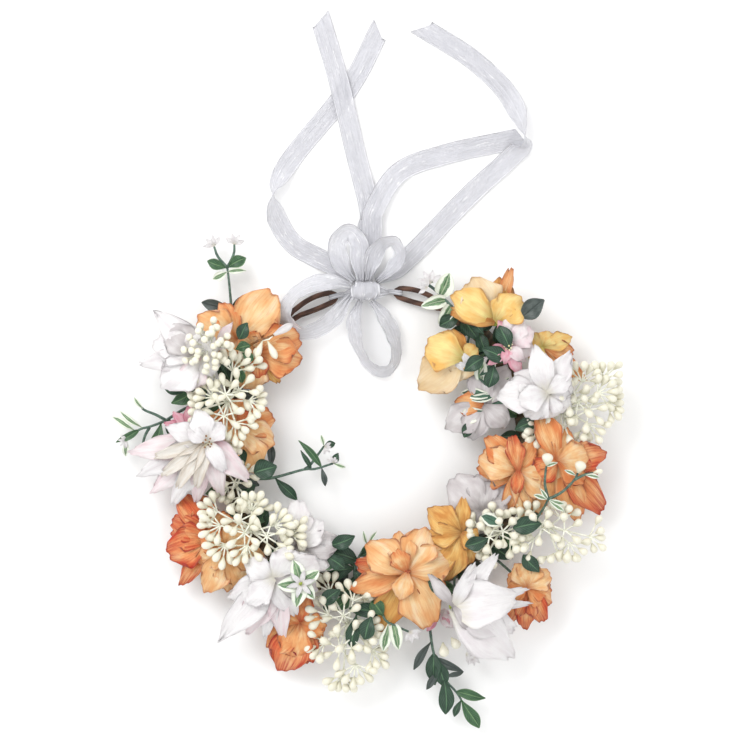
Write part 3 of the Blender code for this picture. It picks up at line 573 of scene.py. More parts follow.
def addPetal(maker, finish, foot, heading, reach, width, rise, bow, outline="round", seed=0, **more):
    look = {**petalShape, **more}
    chance = np.random.default_rng(seed * 7919 + 13)
    u, v = places(17, 15)
    wobble = chance.uniform(0, anyPhase, 12)
    half = halfWidth(u, outline) * width / 2
    # the rim wanders in and out a little
    half = half * (1 + 0.05 * np.sin(u * 9 + wobble[0] + v * 2) * np.abs(v))
    roundness = outlines[outline][3]
    along = u * (1 - roundness * (1 - np.sqrt(1 - 0.96 * v * v)) * u**2)
    along = along + 0.025 * u**3 * np.sin(v * 5.5 + wobble[1])
    along = along + 0.02 * u**3 * np.sin(v * 11 + wobble[2])
    z = rise * along + bow * 4 * along * (1 - along) - look["curl"] * reach * u**5
    z = z + look["cup"] * half * v * v * (0.3 + u * 0.7)
    edge = np.abs(v) ** 2.5 * np.clip(u * 1.6, 0, 1) + u**6
    z = z + look["ruffle"] * width * edge * np.sin(u * 8 * np.sign(v) + v * 3 + wobble[3])
    z = z + look["ruffle"] * 0.6 * width * edge * np.sin(u * 17 + v * 9 + wobble[4])
    # folds fan out from the foot, and small crumples cross them
    for k in range(3):
        sharp = 1 - np.abs(np.sin(v * (1.5 + 1.1 * k) + wobble[5 + k])) ** 0.8
        z = z - look["fold"] * width * sharp * np.minimum(u * 1.5, 1) / (1 + 0.6 * k)
    for k in range(3):
        ripple = np.sin(u * (7 + 5 * k) + v * (4 - 3 * k) * 1.5 + wobble[8 + k])
        z = z + look["crumple"] * width * ripple * u / (1 + k)
    grid = turned(reach * along, half * v, z, heading, foot)
    maker.skin(grid, marksOf(u, v, chance.uniform(0, 1)), finish, look["thick"])


def addDrop(maker, foot, ahead, length, wide, finish="berry", tone=0.5):
    # a teardrop, slim where its stem comes in: its girth at shares of its length
    ahead = np.asarray(ahead, float)
    ahead = ahead / np.linalg.norm(ahead)
    share = np.array((0, 0.1, 0.25, 0.42, 0.6, 0.76, 0.89, 0.97, 1.0))
    girth = np.array((0.16, 0.28, 0.52, 0.8, 0.99, 0.97, 0.72, 0.36, 0.05)) * wide / 2
    path = np.asarray(foot)[None] + ahead[None] * (share * length)[:, None]
    maker.tube(path, girth, finish, 10, tone)


def addStamens(maker, heart, count, length, spread, heading, lean, seed, tipFinish):
    chance = np.random.default_rng(seed)
    heart = np.asarray(heart, float)
    turn = math.radians(heading)
    base = np.array((math.cos(turn) * lean, math.sin(turn) * lean, 1.0))
    for k in range(count):
        angle = k * goldenTurn
        out = spread * math.sqrt((k + 0.5) / count)
        ahead = base + np.array((math.cos(angle), math.sin(angle), 0)) * out
        ahead = ahead / np.linalg.norm(ahead) * length * chance.uniform(0.75, 1.05)
        bend = heart + ahead * 0.5 + np.array((0, 0, 0.8))
        tip = heart + ahead
        maker.tube(curveThrough([heart, bend, tip], 1.5), 0.22, "stemCream", 5)
        grain = [tip + ahead * share for share in (-0.06, 0.02, 0.1, 0.16)]
        maker.tube(grain, [0.25, 0.6, 0.55, 0.1], tipFinish, 6)


# Each bloom: the silk, where its heart stands from the middle of its box, how far the heart lies below the
# top, and its petals as heading, reach, width, rise and bow, with a silk, outline or shape of their own.
blooms = {
    "peach_bloom_upper_left": dict(silk="peach", heart=(-3, -6), deep=9, petals=[
        (52, 36, 30, 1, 5), (150, 27, 25, 2, 5), (112, 24, 16, 1, 4, "orange"), (195, 20, 18, -1, 3),
        (15, 22, 18, -1, 3, "orange"), (260, 14, 18, 1, 2), (320, 15, 18, 1, 2)]),
    "orange_bloom_upper_left": dict(silk="orange", heart=(-1, 6), deep=8, petals=[
        (22, 27, 25, -1, 5), (350, 26, 25, -2, 5), (250, 23, 23, -3, 4, "peach"),
        (305, 22, 12, -4, 2, "amber", "oval"), (130, 15, 18, 2, 2), (190, 14, 18, 1, 2),
        (275, 15, 13, 2, 3, "red")]),
    "peach_bloom_left": dict(silk="orange", heart=(0, 3), deep=10, petals=[
        (20, 22, 22, 1, 3), (90, 18, 22, 2, 3), (165, 20, 20, 1, 3), (235, 25, 23, -1, 4, "peach"),
        (290, 29, 25, -2, 4, "peach"), (335, 23, 22, 0, 3, "peach"), (50, 12, 12, 4, 3, "red")]),
    "red_bloom_lower_left": dict(silk="red", heart=(8, 4), deep=8, petals=[
        (126, 34, 17, 0, 5), (104, 26, 17, 1, 4, "orange"), (155, 26, 18, 2, 4), (200, 28, 25, -2, 6),
        (237, 34, 12, -4, 4), (176, 24, 18, 1, 4), (270, 20, 18, 0, 3, "orange"),
        (55, 18, 18, 2, 3, "orange")]),
    "orange_bloom_lower_left": dict(silk="peach", heart=(-6, 5), deep=9, petals=[
        (243, 29, 19, -3, 5), (268, 25, 17, -2, 4), (302, 28, 21, -3, 5), (345, 22, 20, 1, 3),
        (200, 18, 18, -1, 4), (150, 18, 18, 2, 3, "orange"), (60, 18, 20, 3, 3)]),
    "red_bloom_front_left": dict(silk="orange", heart=(3, 7), deep=8, petals=[
        (250, 32, 27, -5, 6, "red", dict(fold=0.06)), (283, 26, 17, -4, 5, "red"),
        (222, 25, 20, -2, 5), (255, 22, 22, 0, 5, dict(fold=0.06)), (310, 19, 17, -2, 3),
        (345, 16, 16, 1, 3), (150, 14, 15, 2, 3), (78, 18, 13, 3, 4, "red")]),
    "peach_bloom_front": dict(silk="peach", heart=(5, 4), deep=13, petals=[
        (245, 40, 20, -9, 3, "amber"), (172, 31, 17, -4, 4, "red", dict(fold=0.06)),
        (198, 35, 18, -3, 5, "orange", dict(fold=0.06)), (292, 36, 27, -3, 6),
        (340, 24, 20, -3, 4, "orange"), (20, 28, 25, 0, 5), (66, 28, 24, 1, 5), (104, 24, 18, 3, 4),
        (145, 29, 24, 2, 5), (120, 15, 13, 6, 3, "orange"), (255, 17, 14, 5, 4)], stamens=("red", 3)),
    "orange_bloom_front_inner": dict(silk="amber", heart=(7, 1), deep=9, petals=[
        (86, 23, 10, 3, 3, "oval", dict(fold=0.08)), (142, 24, 19, 2, 5, dict(fold=0.06)),
        (222, 34, 25, -5, 6, dict(fold=0.06)), (250, 30, 20, -3, 5, dict(fold=0.06)),
        (285, 19, 17, -2, 3), (185, 20, 16, 1, 4), (330, 12, 15, 0, 3)]),
    "orange_bloom_right": dict(silk="orange", heart=(4, -2), deep=10, petals=[
        (178, 24, 22, -2, 4), (132, 28, 18, 1, 5), (158, 25, 22, 1, 6, "peach"),
        (66, 21, 13, 3, 4, dict(fold=0.08)), (20, 17, 17, 1, 3, "peach"),
        (328, 26, 19, -1, 4, "peach"), (302, 29, 16, -4, 4, "peach"),
        (278, 33, 12, -5, 4, "peach", "tongue", dict(fold=0.08)),
        (252, 26, 10, -4, 4, "strap", dict(fold=0.1)), (100, 22, 12, 4, 4, "red", dict(fold=0.1)),
        (262, 13, 8, 5, 3, "red", "strap")]),
    "red_bloom_outer_right": dict(silk="red", heart=(-7, 6), deep=10, petals=[
        (9, 29, 19, -1, 5), (312, 41, 20, -7, 6), (290, 38, 18, -6, 6, "orange"), (335, 26, 18, -2, 5),
        (262, 26, 18, -3, 4, "peach"), (212, 18, 18, 0, 4), (160, 15, 16, 1, 3, "orange"),
        (110, 32, 17, 2, 6, "orange", dict(fold=0.08)), (75, 20, 15, 1, 4, "orange"),
        (15, 18, 21, 3, 6, "peach"), (320, 20, 15, 3, 4, "orange")]),
    "orange_bloom_front_right": dict(silk="orange", heart=(0, 3), deep=9, petals=[
        (268, 26, 14, -4, 4, "red"), (296, 24, 14, -4, 4, "red"), (244, 25, 12, -4, 4, "red"),
        (322, 18, 15, -3, 4), (350, 15, 15, -1, 3), (150, 13, 14, 2, 3), (205, 13, 14, 0, 3),
        (30, 16, 16, 1, 4, "peach"), (80, 16, 17, 2, 4, "peach"), (115, 15, 14, 2, 3, "peach")]),
    "yellow_bloom_upper": dict(silk="yellow", heart=(6, -11), deep=12, petals=[
        (120, 29, 27, 3, 6, "tan"), (80, 26, 20, 2, 4, "amber"), (73, 33, 9, 2, 3, "orange", "strap"),
        (146, 30, 22, 4, 7), (40, 21, 22, 6, 6), (166, 27, 12, 0, 6, "amber", "strap", dict(cup=0.5)),
        (62, 17, 16, 6, 5)]),
    "yellow_bloom_inner": dict(silk="yellow", heart=(13, 3), deep=9, petals=[
        (214, 32, 27, -5, 5, "tan"), (120, 19, 14, -2, 3, "amber"), (260, 14, 16, -2, 3, "tan"),
        (40, 10, 12, 1, 2), (320, 10, 12, 0, 2), (162, 24, 26, 2, 6)]),
    "yellow_bloom_outer": dict(silk="yellow", heart=(-4, -2), deep=7, petals=[
        (322, 33, 11, -3, 4, "orange"), (350, 19, 12, -1, 4, "orange"), (18, 18, 12, 0, 4),
        (60, 10, 12, 1, 3), (150, 12, 12, 0, 3), (240, 12, 12, 0, 3)]),
    "white_bloom_upper_left": dict(silk="white", heart=(8, -7), deep=17, petals=[
        (138, 40, 18, -3, 5, "pointed"), (187, 39, 14, -7, 5, "oval"), (165, 31, 22, -3, 6),
        (144, 29, 21, 0, 5, "white_in_painted_shade"), (216, 31, 25, -6, 6), (242, 24, 18, -4, 4, "blush"),
        (110, 18, 16, 2, 4), (60, 13, 14, 3, 3), (300, 13, 14, 1, 3)]),
    "white_lily_left": dict(silk="blush", heart=(15, 16), deep=16, petals=[
        (188, 48, 17, -10, 6, "tongue"), (206, 47, 16, -11, 6, "white", "tongue"),
        (222, 46, 16, -12, 6, "tongue"), (240, 44, 15, -11, 6, "white", "tongue"),
        (258, 38, 13, -9, 6, "tongue"), (316, 33, 15, -4, 5, "tongue"), (284, 33, 14, -7, 6, "tongue"),
        (160, 26, 15, -1, 5, "white", "tongue"), (196, 33, 8, -1, 5, "cream", "strap", dict(cup=0.7)),
        (216, 34, 8, -1, 5, "cream", "strap", dict(cup=0.7)),
        (236, 33, 8, -1, 5, "cream", "strap", dict(cup=0.7)),
        (256, 28, 8, 0, 4, "cream", "strap", dict(cup=0.7)),
        (300, 20, 10, 3, 3, "white", "strap", dict(cup=0.5)), (108, 20, 15, 2, 5, "white"),
        (50, 14, 13, 3, 3, "white"), (150, 14, 10, 4, 3, "white")], stamens=("stemBrown", 7)),
    "white_bloom_lower_left": dict(silk="white", heart=(9, 18), deep=15, petals=[
        (229, 51, 19, -12, 6, "pointed"), (243, 38, 20, -11, 6, "blush", "oval"),
        (261, 37, 12, -11, 5, "oval"), (278, 38, 13, -10, 5, "blush", "oval"),
        (300, 26, 16, -5, 5, "oval"), (205, 30, 18, -6, 5, "oval"), (150, 20, 16, 0, 4),
        (20, 28, 22, -3, 4), (60, 20, 18, 0, 4), (345, 26, 20, -4, 4, "white_in_painted_shade"), (225, 22, 16, 1, 5)]),
    "white_bloom_inner_left": dict(silk="white_in_painted_shade", heart=(-2, -10), deep=9, petals=[
        (90, 29, 19, 1, 5, "white"), (10, 26, 18, -1, 4), (335, 25, 17, -3, 4, "white"),
        (50, 22, 17, 2, 4, "white"), (140, 15, 14, 1, 3), (250, 14, 14, -1, 3),
        (300, 20, 16, -3, 3, "white")]),
    "white_magnolia_front": dict(silk="white", heart=(-17, 5), deep=15, petals=[
        (318, 48, 29, -13, 9, "oval", dict(ruffle=0.02, fold=0.015)),
        (338, 40, 24, -10, 8, "oval", dict(ruffle=0.02, fold=0.015)),
        (296, 30, 10, -9, 3, "white_in_painted_shade", "oval"), (12, 45, 7, -7, 5, "strap"), (1, 46, 6, -9, 5, "strap"),
        (8, 38, 28, -3, 11, "tongue", dict(ruffle=0.015, cup=0.35, fold=0.01)),
        (50, 40, 12, 2, 7, "tongue", dict(cup=0.5, fold=0.02)),
        (64, 28, 9, 6, 6, "strap", dict(cup=0.5)), (128, 24, 8, -1, 5, "white_in_painted_shade", "oval", dict(cup=0.6)),
        (305, 20, 7, -2, 4, "white_in_painted_shade", "oval")]),
    "white_bloom_right": dict(silk="white", heart=(6, -5), deep=9, petals=[
        (325, 17, 16, -3, 4), (278, 16, 17, -3, 4), (15, 16, 15, -2, 4),
        (184, 29, 23, -3, 6, dict(fold=0.02)), (232, 19, 18, -2, 5),
        (60, 28, 14, 0, 6, "oval", dict(fold=0.06)), (150, 22, 19, 0, 4),
        (105, 29, 16, 2, 6, "oval", dict(fold=0.02)), (198, 18, 17, 3, 5, dict(fold=0.02)),
        (35, 17, 12, 3, 4)]),
    "white_bloom_inner_lower": dict(silk="white_in_painted_shade", heart=(3, -8), deep=9, petals=[
        (135, 28, 26, 1, 6), (166, 21, 18, -1, 4), (58, 25, 19, 0, 4), (95, 23, 19, 1, 4),
        (232, 17, 16, -3, 3), (290, 15, 15, -2, 3), (10, 15, 15, 0, 3)]),
    "white_bloom_inner_upper": dict(silk="white_in_painted_shade", heart=(4, 5), deep=8, petals=[
        (58, 27, 20, 2, 4), (96, 24, 18, 1, 4), (212, 26, 21, -2, 5), (246, 22, 18, -2, 4),
        (175, 17, 15, 0, 3, "orange"), (320, 19, 17, -1, 3)]),
    "pink_blossom_upper": dict(silk="pink", heart=(0, -3), deep=8, petals=[
        (68, 20, 16, 1, 4, "blush"), (34, 18, 16, 1, 4, "blush"), (350, 16, 14, 0, 3, "blush"),
        (108, 16, 8, 1, 3, "oval"), (225, 16, 8, 0, 3, "oval"), (200, 13, 7, 0, 3, "oval"),
        (294, 20, 8, -1, 3, "oval"), (262, 11, 7, 1, 3, "oval"),
        (318, 14, 8, 1, 3, "blush", "oval")], stamens=("stemCream", 5)),
    "pink_blossom_left": dict(silk="pink", heart=(4, -1), deep=6, petals=[
        (168, 18, 9, -1, 3, "oval"), (198, 17, 9, -2, 3, "red", "oval"), (140, 16, 8, 0, 3, "oval"),
        (235, 14, 9, -1, 3, "oval"), (100, 15, 9, 1, 3, "oval"), (20, 11, 8, 1, 3, "oval"),
        (300, 12, 8, 0, 3, "oval")], stamens=("stemCream", 4)),
}


def rootOf(name):
    # the nearest place on the band, where a stem goes into the tape
    middle = middleOf(name)
    ring = middle[:2] / np.linalg.norm(middle[:2]) * ringRadius
    return np.array((ring[0], ring[1], max(7.0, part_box(name)[0][2] / mm)))


def makeBloom(name, look, seed):
    maker = Maker(name + "_petals")
    middle = middleOf(name)
    right, back = look["heart"]
    heart = np.array((middle[0] + right, middle[1] + back, topOf(name) - look["deep"]))
    for k, (heading, reach, width, rise, bow, *extras) in enumerate(look["petals"]):
        silk = look["silk"]
        own = {}
        for extra in extras:
            if isinstance(extra, dict):
                own.update(extra)
            elif extra in outlines:
                own["outline"] = extra
            else:
                silk = extra
        # later petals start higher, so that they lie on the earlier ones
        foot = heart + np.array((0, 0, 0.35 * k))
        addPetal(maker, silk, foot, heading, reach, width, rise, bow, seed=seed * 40 + k, **own)
    # the throat, the green cup under it and the stem down into the tape
    cup = [heart + (0, 0, height) for height in (-3.6, -2.6, -0.4, 0.8)]
    maker.tube(cup, [1.2, 2.4, 3.0, 1.4], "stemOlive", 10)
    root = rootOf(name)
    bend = heart * 0.55 + root * 0.45 - (0, 0, 3)
    maker.tube(curveThrough([heart - (0, 0, 3), bend, root], 3), 0.8, "stemGreen", 7)
    if "stamens" in look:
        tip, length = look["stamens"]
        addStamens(maker, heart + np.array((0, 0, 1.5)), 11, length, 0.7, 0, 0, seed, tip)
    maker.done("crown", name.split("_")[0] + "_silk", name)


for order, (name, look) in enumerate(blooms.items()):
    makeBloom(name, look, order + 1)
print("blooms made:", len(blooms))


# Each spray of ivory berries: forks, drops on each, how far the forks reach along and across, which way
# it points, how long and wide a drop is, and its stalk.
sprays = {
    "berry_spray_upper_left": dict(
        forks=12, drops=6, reach=(27, 16), heading=80, drop=(8.2, 4.6), stalk=6.5),
    "berry_spray_left": dict(
        forks=5, drops=5, reach=(13, 7), heading=105, drop=(6.4, 4.8), stalk=5),
    "berry_spray_lower_left": dict(
        forks=11, drops=6, reach=(27, 15), heading=168, drop=(8.2, 4.7), stalk=6.5),
    "berry_spray_front": dict(
        forks=12, drops=6, reach=(30, 18), heading=285, drop=(7.8, 4.9), stalk=7.0),
    "berry_spray_inner_right": dict(
        forks=7, drops=5, reach=(14, 11), heading=20, drop=(6.8, 5.4), stalk=5.5),
    "berry_spray_outer_right": dict(
        forks=8, drops=5, reach=(24, 13), heading=350, drop=(7.2, 5.0), stalk=7),
    "berry_spray_right": dict(
        forks=15, drops=6, reach=(27, 18), heading=30, drop=(7.4, 4.8), stalk=7.5),
}


def makeSpray(name, look, seed):
    maker = Maker(name + "_drops")
    chance = np.random.default_rng(seed * 101 + 5)
    middle = middleOf(name)
    low, high = (np.array(corner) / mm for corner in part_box(name))
    root = rootOf(name)
    parting = np.array((middle[0] * 0.8 + root[0] * 0.2, middle[1] * 0.8 + root[1] * 0.2, high[2] - 15))
    maker.tube(curveThrough([root, (root + parting) / 2 + (0, 0, 1), parting], 3), 1.0, "stemPale", 7)
    turn = math.radians(look["heading"])
    ahead = np.array((math.cos(turn), math.sin(turn), 0))
    side = np.array((-ahead[1], ahead[0], 0))
    for fork in range(look["forks"]):
        share = math.sqrt((fork + 0.35) / look["forks"])
        angle = fork * goldenTurn + 0.6
        out = ahead * look["reach"][0] * share * math.cos(angle)
        out = out + side * look["reach"][1] * share * math.sin(angle)
        knuckle = np.array((middle[0], middle[1], high[2] - 7.5 - 7 * share * share)) + out
        knuckle[2] += chance.uniform(-1.5, 1.5)
        bend = parting * 0.5 + knuckle * 0.5 + np.array((0, 0, 1.5))
        route = curveThrough([parting, bend, knuckle], 2.5)
        maker.tube(route, np.linspace(0.75, 0.6, len(route)), "stemPale", 6)
        away = math.atan2(out[1], out[0]) + chance.uniform(-0.5, 0.5)
        for drop in range(look["drops"]):
            spread = (drop / (look["drops"] - 1) - 0.5) * (2.3 if share > 0.5 else 4.6)
            lift = chance.uniform(0.05, 0.75) if drop % 2 else chance.uniform(-0.25, 0.35)
            aim = np.array((math.cos(away + spread), math.sin(away + spread), lift))
            aim /= np.linalg.norm(aim)
            stalk = look["stalk"] * chance.uniform(0.55, 1.1)
            foot = knuckle + aim * stalk
            length = look["drop"][0] * chance.uniform(0.9, 1.1)
            # drops stay inside the spray's own box, a little proud of it
            tip = foot + aim * length
            shift = np.clip(tip, low - 6, high + 6) - tip
            foot = foot + shift
            route = curveThrough([knuckle, (knuckle + foot) / 2 + (0, 0, 0.5), foot + aim * 0.5], 2)
            maker.tube(route, 0.5, "stemPale", 5)
            wide = look["drop"][1] * chance.uniform(0.9, 1.08)
            addDrop(maker, foot, aim, length, wide, tone=chance.uniform(0, 1))
    maker.done("crown", "ivory_berry", name)


for order, (name, look) in enumerate(sprays.items()):
    makeSpray(name, look, order + 1)
print("sprays made:", len(sprays))


# every leaf: how deep its fold is, how far its tip curls down, its thickness and its width at foot and tip
leafShape = dict(fold=0.22, curl=0.06, thick=0.3, least=0.07)


def addLeaf(maker, finish, foot, heading, length, width, rise, arch, outline, seed):
    chance = np.random.default_rng(seed * 31 + 7)
    u, v = places(13, 9)
    if outline == "round":
        half = np.sin(np.clip(u * 0.93 + 0.07, 0, 1) ** 0.75 * math.pi) ** 0.6
    elif outline == "spade":
        half = np.sin(np.clip(u, 0, 1) ** 1.35 * math.pi) ** 0.8
    else:
        half = np.sin(np.clip(u, 0.0, 1) ** 0.85 * math.pi) ** 0.85
    half = np.maximum(half, leafShape["least"]) * width / 2
    wave = chance.uniform(0, anyPhase, 3)
    y = half * v + 0.06 * length * np.sin(u * 3 + wave[0]) * u
    z = rise * u + arch * 4 * u * (1 - u) - leafShape["curl"] * length * u**3
    z = z + leafShape["fold"] * half * np.abs(v)
    z = z + 0.05 * width * np.abs(v) * np.sin(u * 9 * np.sign(v) + wave[1])
    grid = turned(length * u, y, z, heading, foot)
    maker.skin(grid, marksOf(u, v, chance.uniform(0, 1)), finish, leafShape["thick"])


def addFloret(maker, foot, heading, size, seed):
    # a small bud that opens in four narrow petals, between two small leaves
    for k, turn in enumerate((-63, -21, 21, 63)):
        place = np.asarray(foot) + (0, 0, 0.2 * k)
        addPetal(maker, "white", place, heading + turn, size, size * 0.42, 0.8, 1.2, "oval", seed * 9 + k)
    for k, turn in enumerate((-28, 28)):
        addLeaf(maker, "leafMid", foot, heading + turn, size * 0.55, size * 0.4, 0.6, 0.5, "blade", seed + k)


# Each sprig: its body, the points of its stems from the middle of its box, leaves as which stem, share
# along it, heading, length, width and finish, florets as a place from the middle, heading and size, and
# buds as a place from the middle, which way they point, length and width.
sprigs = {
    "leaf_sprig_upper_left": dict(
        body="upper_left_sprig", slot="green_leaf",
        stems=[
            [(2, -33, -1), (1.2, -18, 1), (-0.2, -2, 2), (-1.2, 6, 2)],
            [(-1.2, 6, 2), (-6.8, 12.6, 3), (-9, 18.6, 3)],
            [(-1.2, 6, 2), (1.5, 11, 3), (3, 15.5, 3), (3, 19.8, 3)],
        ],
        leaves=[
            (0, 0.42, 172, 18, 7.5, "leafSlate"), (0, 0.42, 40, 14, 3.2, "leafDark"),
            (0, 0.98, 30, 12.5, 7.5, "leafMid"), (0, 0.98, 165, 12.5, 6.5, "leafMid"),
            (0, 0.93, 5, 11, 4, "leafPale"), (0, 0.9, 207, 10, 5.5, "leafPale"),
        ],
        florets=[
            ((-9, 19, 3), 120, 6.5), ((3, 20, 3), 80, 6.5),
        ],
    ),
    "leaf_sprig_left": dict(
        body="left_sprig", slot="green_leaf",
        stems=[
            [(22, 9, -2), (12, 5.5, 0), (1, -1.2, 1.5), (-8, -4.8, 2), (-14.4, -6.6, 2), (-22, -12.6, 2)],
            [(1, -0.8, 1.5), (-5, 2.4, 2), (-12, 5.4, 2.5), (-15, 9.6, 3)],
            [(-8.4, -5.4, 2), (-11, -10, 2), (-13, -17, 2)],
        ],
        leaves=[
            (0, 0.5, 258, 19.5, 7.5, "leafMid"), (0, 0.42, 282, 13, 5.5, "leafDark"),
            (0, 0.72, 146, 17, 4, "leafPale"), (0, 0.84, 150, 17, 4.4, "leafPale"),
            (0, 0.78, 212, 16, 4.5, "leafMid"), (0, 0.98, 268, 10, 4, "leafPale"),
            (1, 0.7, 128, 9, 3, "leafPale"),
        ],
        florets=[
            ((-22, -13, 3), 200, 5),
        ],
    ),
    "leaf_sprig_inner": dict(
        body="inner_sprig", slot="green_leaf",
        stems=[
            [(-28, -10, -3), (-20, -9.8, -1), (-12, -9, 0), (5.4, -4.2, 1), (12, -3.9, 2), (22.8, -0.6, 2)],
            [(6, -4, 1), (9.6, -1, 2), (17.4, 9.6, 2)],
            [(-19, -9.8, -1), (-17, -6, 1), (-14.4, -3.6, 2)],
        ],
        leaves=[
            (2, 0.98, 87, 15.5, 5, "leafSlate"), (0, 0.84, 128, 21, 4.4, "leafMid"),
            (0, 0.84, 281, 11.5, 3.6, "leafSlate"), (0, 0.3, 312, 19, 6.5, "leafDark"),
            (0, 0.72, 116, 13, 3, "leafDark"), (1, 0.98, 20, 7, 4.5, "leafDark"),
            (1, 0.98, 100, 7, 2.6, "leafPale"), (0, 0.98, 60, 7, 4.5, "leafDark"),
            (0, 0.98, 345, 8, 2.8, "leafPale"),
        ],
        florets=[
            ((18, 9.6, 3), 330, 4.5), ((23, 0, 3), 90, 4),
        ],
    ),
    "leaf_sprig_front": dict(
        body="front_sprig", slot="green_leaf",
        stems=[
            [(-14, 36, -2), (-11, 22, 0), (-8.4, 5.4, 1.5), (-2.4, -9, 2.5), (4.8, -17.4, 3), (8, -22.2, 3)],
        ],
        leaves=[
            (0, 0.4, 235, 20, 5, "leafSlate"), (0, 0.52, 272, 19, 9.5, "leafDark"),
            (0, 0.55, 288, 18, 9, "leafDark"), (0, 0.68, 232, 14, 4.4, "leafSlate"),
            (0, 0.54, 330, 19, 5, "leafSlate"), (0, 0.74, 18, 12, 3.2, "leafSlate"),
            (0, 0.76, 275, 22, 9.5, "leafDark"), (0, 0.9, 350, 18, 6.5, "leafMid"),
            (0, 0.98, 300, 20, 8, "leafMid"), (0, 0.98, 246, 11, 4.2, "leafDark"),
        ],
        florets=[
            ((11, 5, 3), 350, 6), ((15, 3, 3), 300, 5),
        ],
        buds=[
            ((-3, 12, 5), (0.1, -0.9, 0.3), 9, 6.4), ((2, 15, 5), (0.5, -0.7, 0.3), 8, 6),
        ],
    ),
    "forked_sprig_right": dict(
        body="forked_sprig", slot="green_leaf",
        stems=[
            [(-8, -26, -14), (-2.6, -18, 0), (1.6, -11, 7), (3.6, -6.6, 10)],
            [(3.6, -6.6, 10), (1.6, 3, 12), (2.4, 13, 12)],
            [(3.6, -6.6, 10), (12, -2, 12), (19, 5, 12), (21, 9, 12)],
            [(19, 5, 12), (25, 8, 12), (30, 9, 11)],
        ],
        leaves=[
            (0, 0.98, 165, 9, 3, "leafPale"), (0, 0.98, 130, 8, 2.6, "leafPale"),
            (0, 0.98, 345, 10, 3, "leafPale"), (0, 0.98, 320, 12, 3, "leafPale"),
            (1, 0.95, 20, 7, 2.4, "leafPale"), (2, 0.9, 150, 8, 2.4, "leafPale"),
            (3, 0.6, 350, 9, 3, "leafPale"),
        ],
        buds=[
            ((2.6, 13.5, 13), (0.1, 1, 0.3), 7.5, 7), ((21.2, 9, 13), (0.3, 1, 0.3), 7.5, 7),
            ((30, 9.2, 11), (1, 0.2, 0.1), 6, 3.4),
        ],
    ),
    "leaf_sprig_upper_right": dict(
        body="crown", slot="green_leaf",
        stems=[
            [(-12, 12, -6), (-4, 6, -1), (4, -2, 2), (14, -12, 3), (22, -20, 3)],
        ],
        leaves=[
            (0, 0.3, 65, 14, 11, "leafPale"), (0, 0.42, 190, 15, 8.5, "leafPale"),
            (0, 0.5, 238, 13, 8, "leafPale"), (0, 0.66, 212, 14, 9, "leafDark"),
            (0, 0.7, 300, 16, 10, "leafDark"), (0, 0.92, 75, 16, 9, "leafRimmed"),
            (0, 0.9, 20, 13, 9, "leafDark"), (0, 0.98, 290, 13, 8, "leafDark"),
        ],
        florets=[
            ((-7, 10, 2), 100, 8), ((-9, 7, 2), 150, 6),
        ],
    ),
    "leaf_sprig_inner_right": dict(
        body="crown", slot="cream_leaf",
        stems=[
            [(16, -22, -4), (10, -8, 1), (2, 2, 4), (-7, 9, 5), (-11, 13, 5)],
            [(10, -8, 1), (2, -16, 1), (-4, -20, 1)],
        ],
        leaves=[
            (0, 0.42, 178, 20, 7, "leafRimmed"), (0, 0.38, 190, 17, 5.5, "leafRimmed"),
            (0, 0.28, 100, 21, 10, "leafRimmed"), (0, 0.34, 60, 16, 7, "leafRimmed"),
            (0, 0.64, 95, 15, 8, "leafPale"), (0, 0.7, 40, 14, 6, "leafRimmed"),
            (1, 0.5, 200, 17, 10, "leafRimmed"), (1, 0.3, 30, 17, 9, "leafRimmed"),
            (1, 0.9, 240, 12, 7, "leafDark"),
        ],
        florets=[
            ((-5, 10, 5), 100, 12),
        ],
    ),
    "star_sprig_lower_left": dict(
        body="crown", slot="cream_leaf",
        stems=[
            [(6, 16, -14), (2, 11, 4), (-2, 8, 14), (-4, 5.5, 21)],
        ],
        leaves=[
            (0, 0.98, 108, 14.5, 9.5, "leafPale"), (0, 0.98, 182, 14, 9.5, "leafPale"),
            (0, 0.98, 38, 13, 9, "leafPale"), (0, 0.98, 262, 14, 9.5, "leafPale"),
            (0, 0.98, 312, 12, 8, "leafPale"), (0, 0.3, 20, 13, 8, "leafMid"),
        ],
    ),
    "leaf_sprig_outer_left": dict(
        body="crown", slot="green_leaf",
        stems=[
            [(16, -10, -4), (6, -4, 0), (-6, 0, 3), (-10, 1, 3)],
        ],
        leaves=[
            (0, 0.55, 172, 18, 10, "leafDark"), (0, 0.5, 210, 17, 9, "leafMid"),
            (0, 0.3, 120, 13, 6, "leafDark"), (0, 0.25, 240, 14, 8, "leafDark"),
        ],
    ),
    "leaf_sprig_front_inner": dict(
        body="crown", slot="green_leaf",
        stems=[
            [(-4, -16, -2), (-3, -6, 1), (1, 2, 2), (4, 5, 2)],
        ],
        leaves=[
            (0, 0.3, 185, 17, 10, "leafDark"), (0, 0.5, 160, 18, 10, "leafDark"),
            (0, 0.62, 25, 15, 8, "leafDark"), (0, 0.98, 110, 9, 2.4, "leafPale"),
            (0, 0.7, 40, 13, 5, "leafMid"), (0, 0.98, 60, 10, 2.4, "leafPale"),
            (0, 0.1, 240, 15, 9, "leafDark"), (0, 0.35, 120, 22, 5, "leafDark"),
        ],
    ),
    "leaf_sprig_front_outer": dict(
        body="crown", slot="green_leaf",
        stems=[
            [(-4, 14, -8), (-4, 5, 0), (-2, -2, 4), (3, -5, 5), (12, -9, 5)],
            [(-4, 5, 0), (-12, 4, 2), (-19, 1, 3)],
        ],
        leaves=[
            (0, 0.5, 120, 12, 9, "leafMid"), (0, 0.72, 285, 15, 8, "leafPale"),
            (0, 0.6, 262, 17, 7, "leafPale"), (0, 0.3, 330, 14, 8, "leafDark"),
            (0, 0.4, 170, 20, 9, "leafDark"), (1, 0.98, 262, 20, 8.5, "leafDark"),
            (0, 0.2, 40, 14, 8, "leafDark"),
        ],
        florets=[
            ((13, -9, 5), 300, 7),
        ],
    ),
}


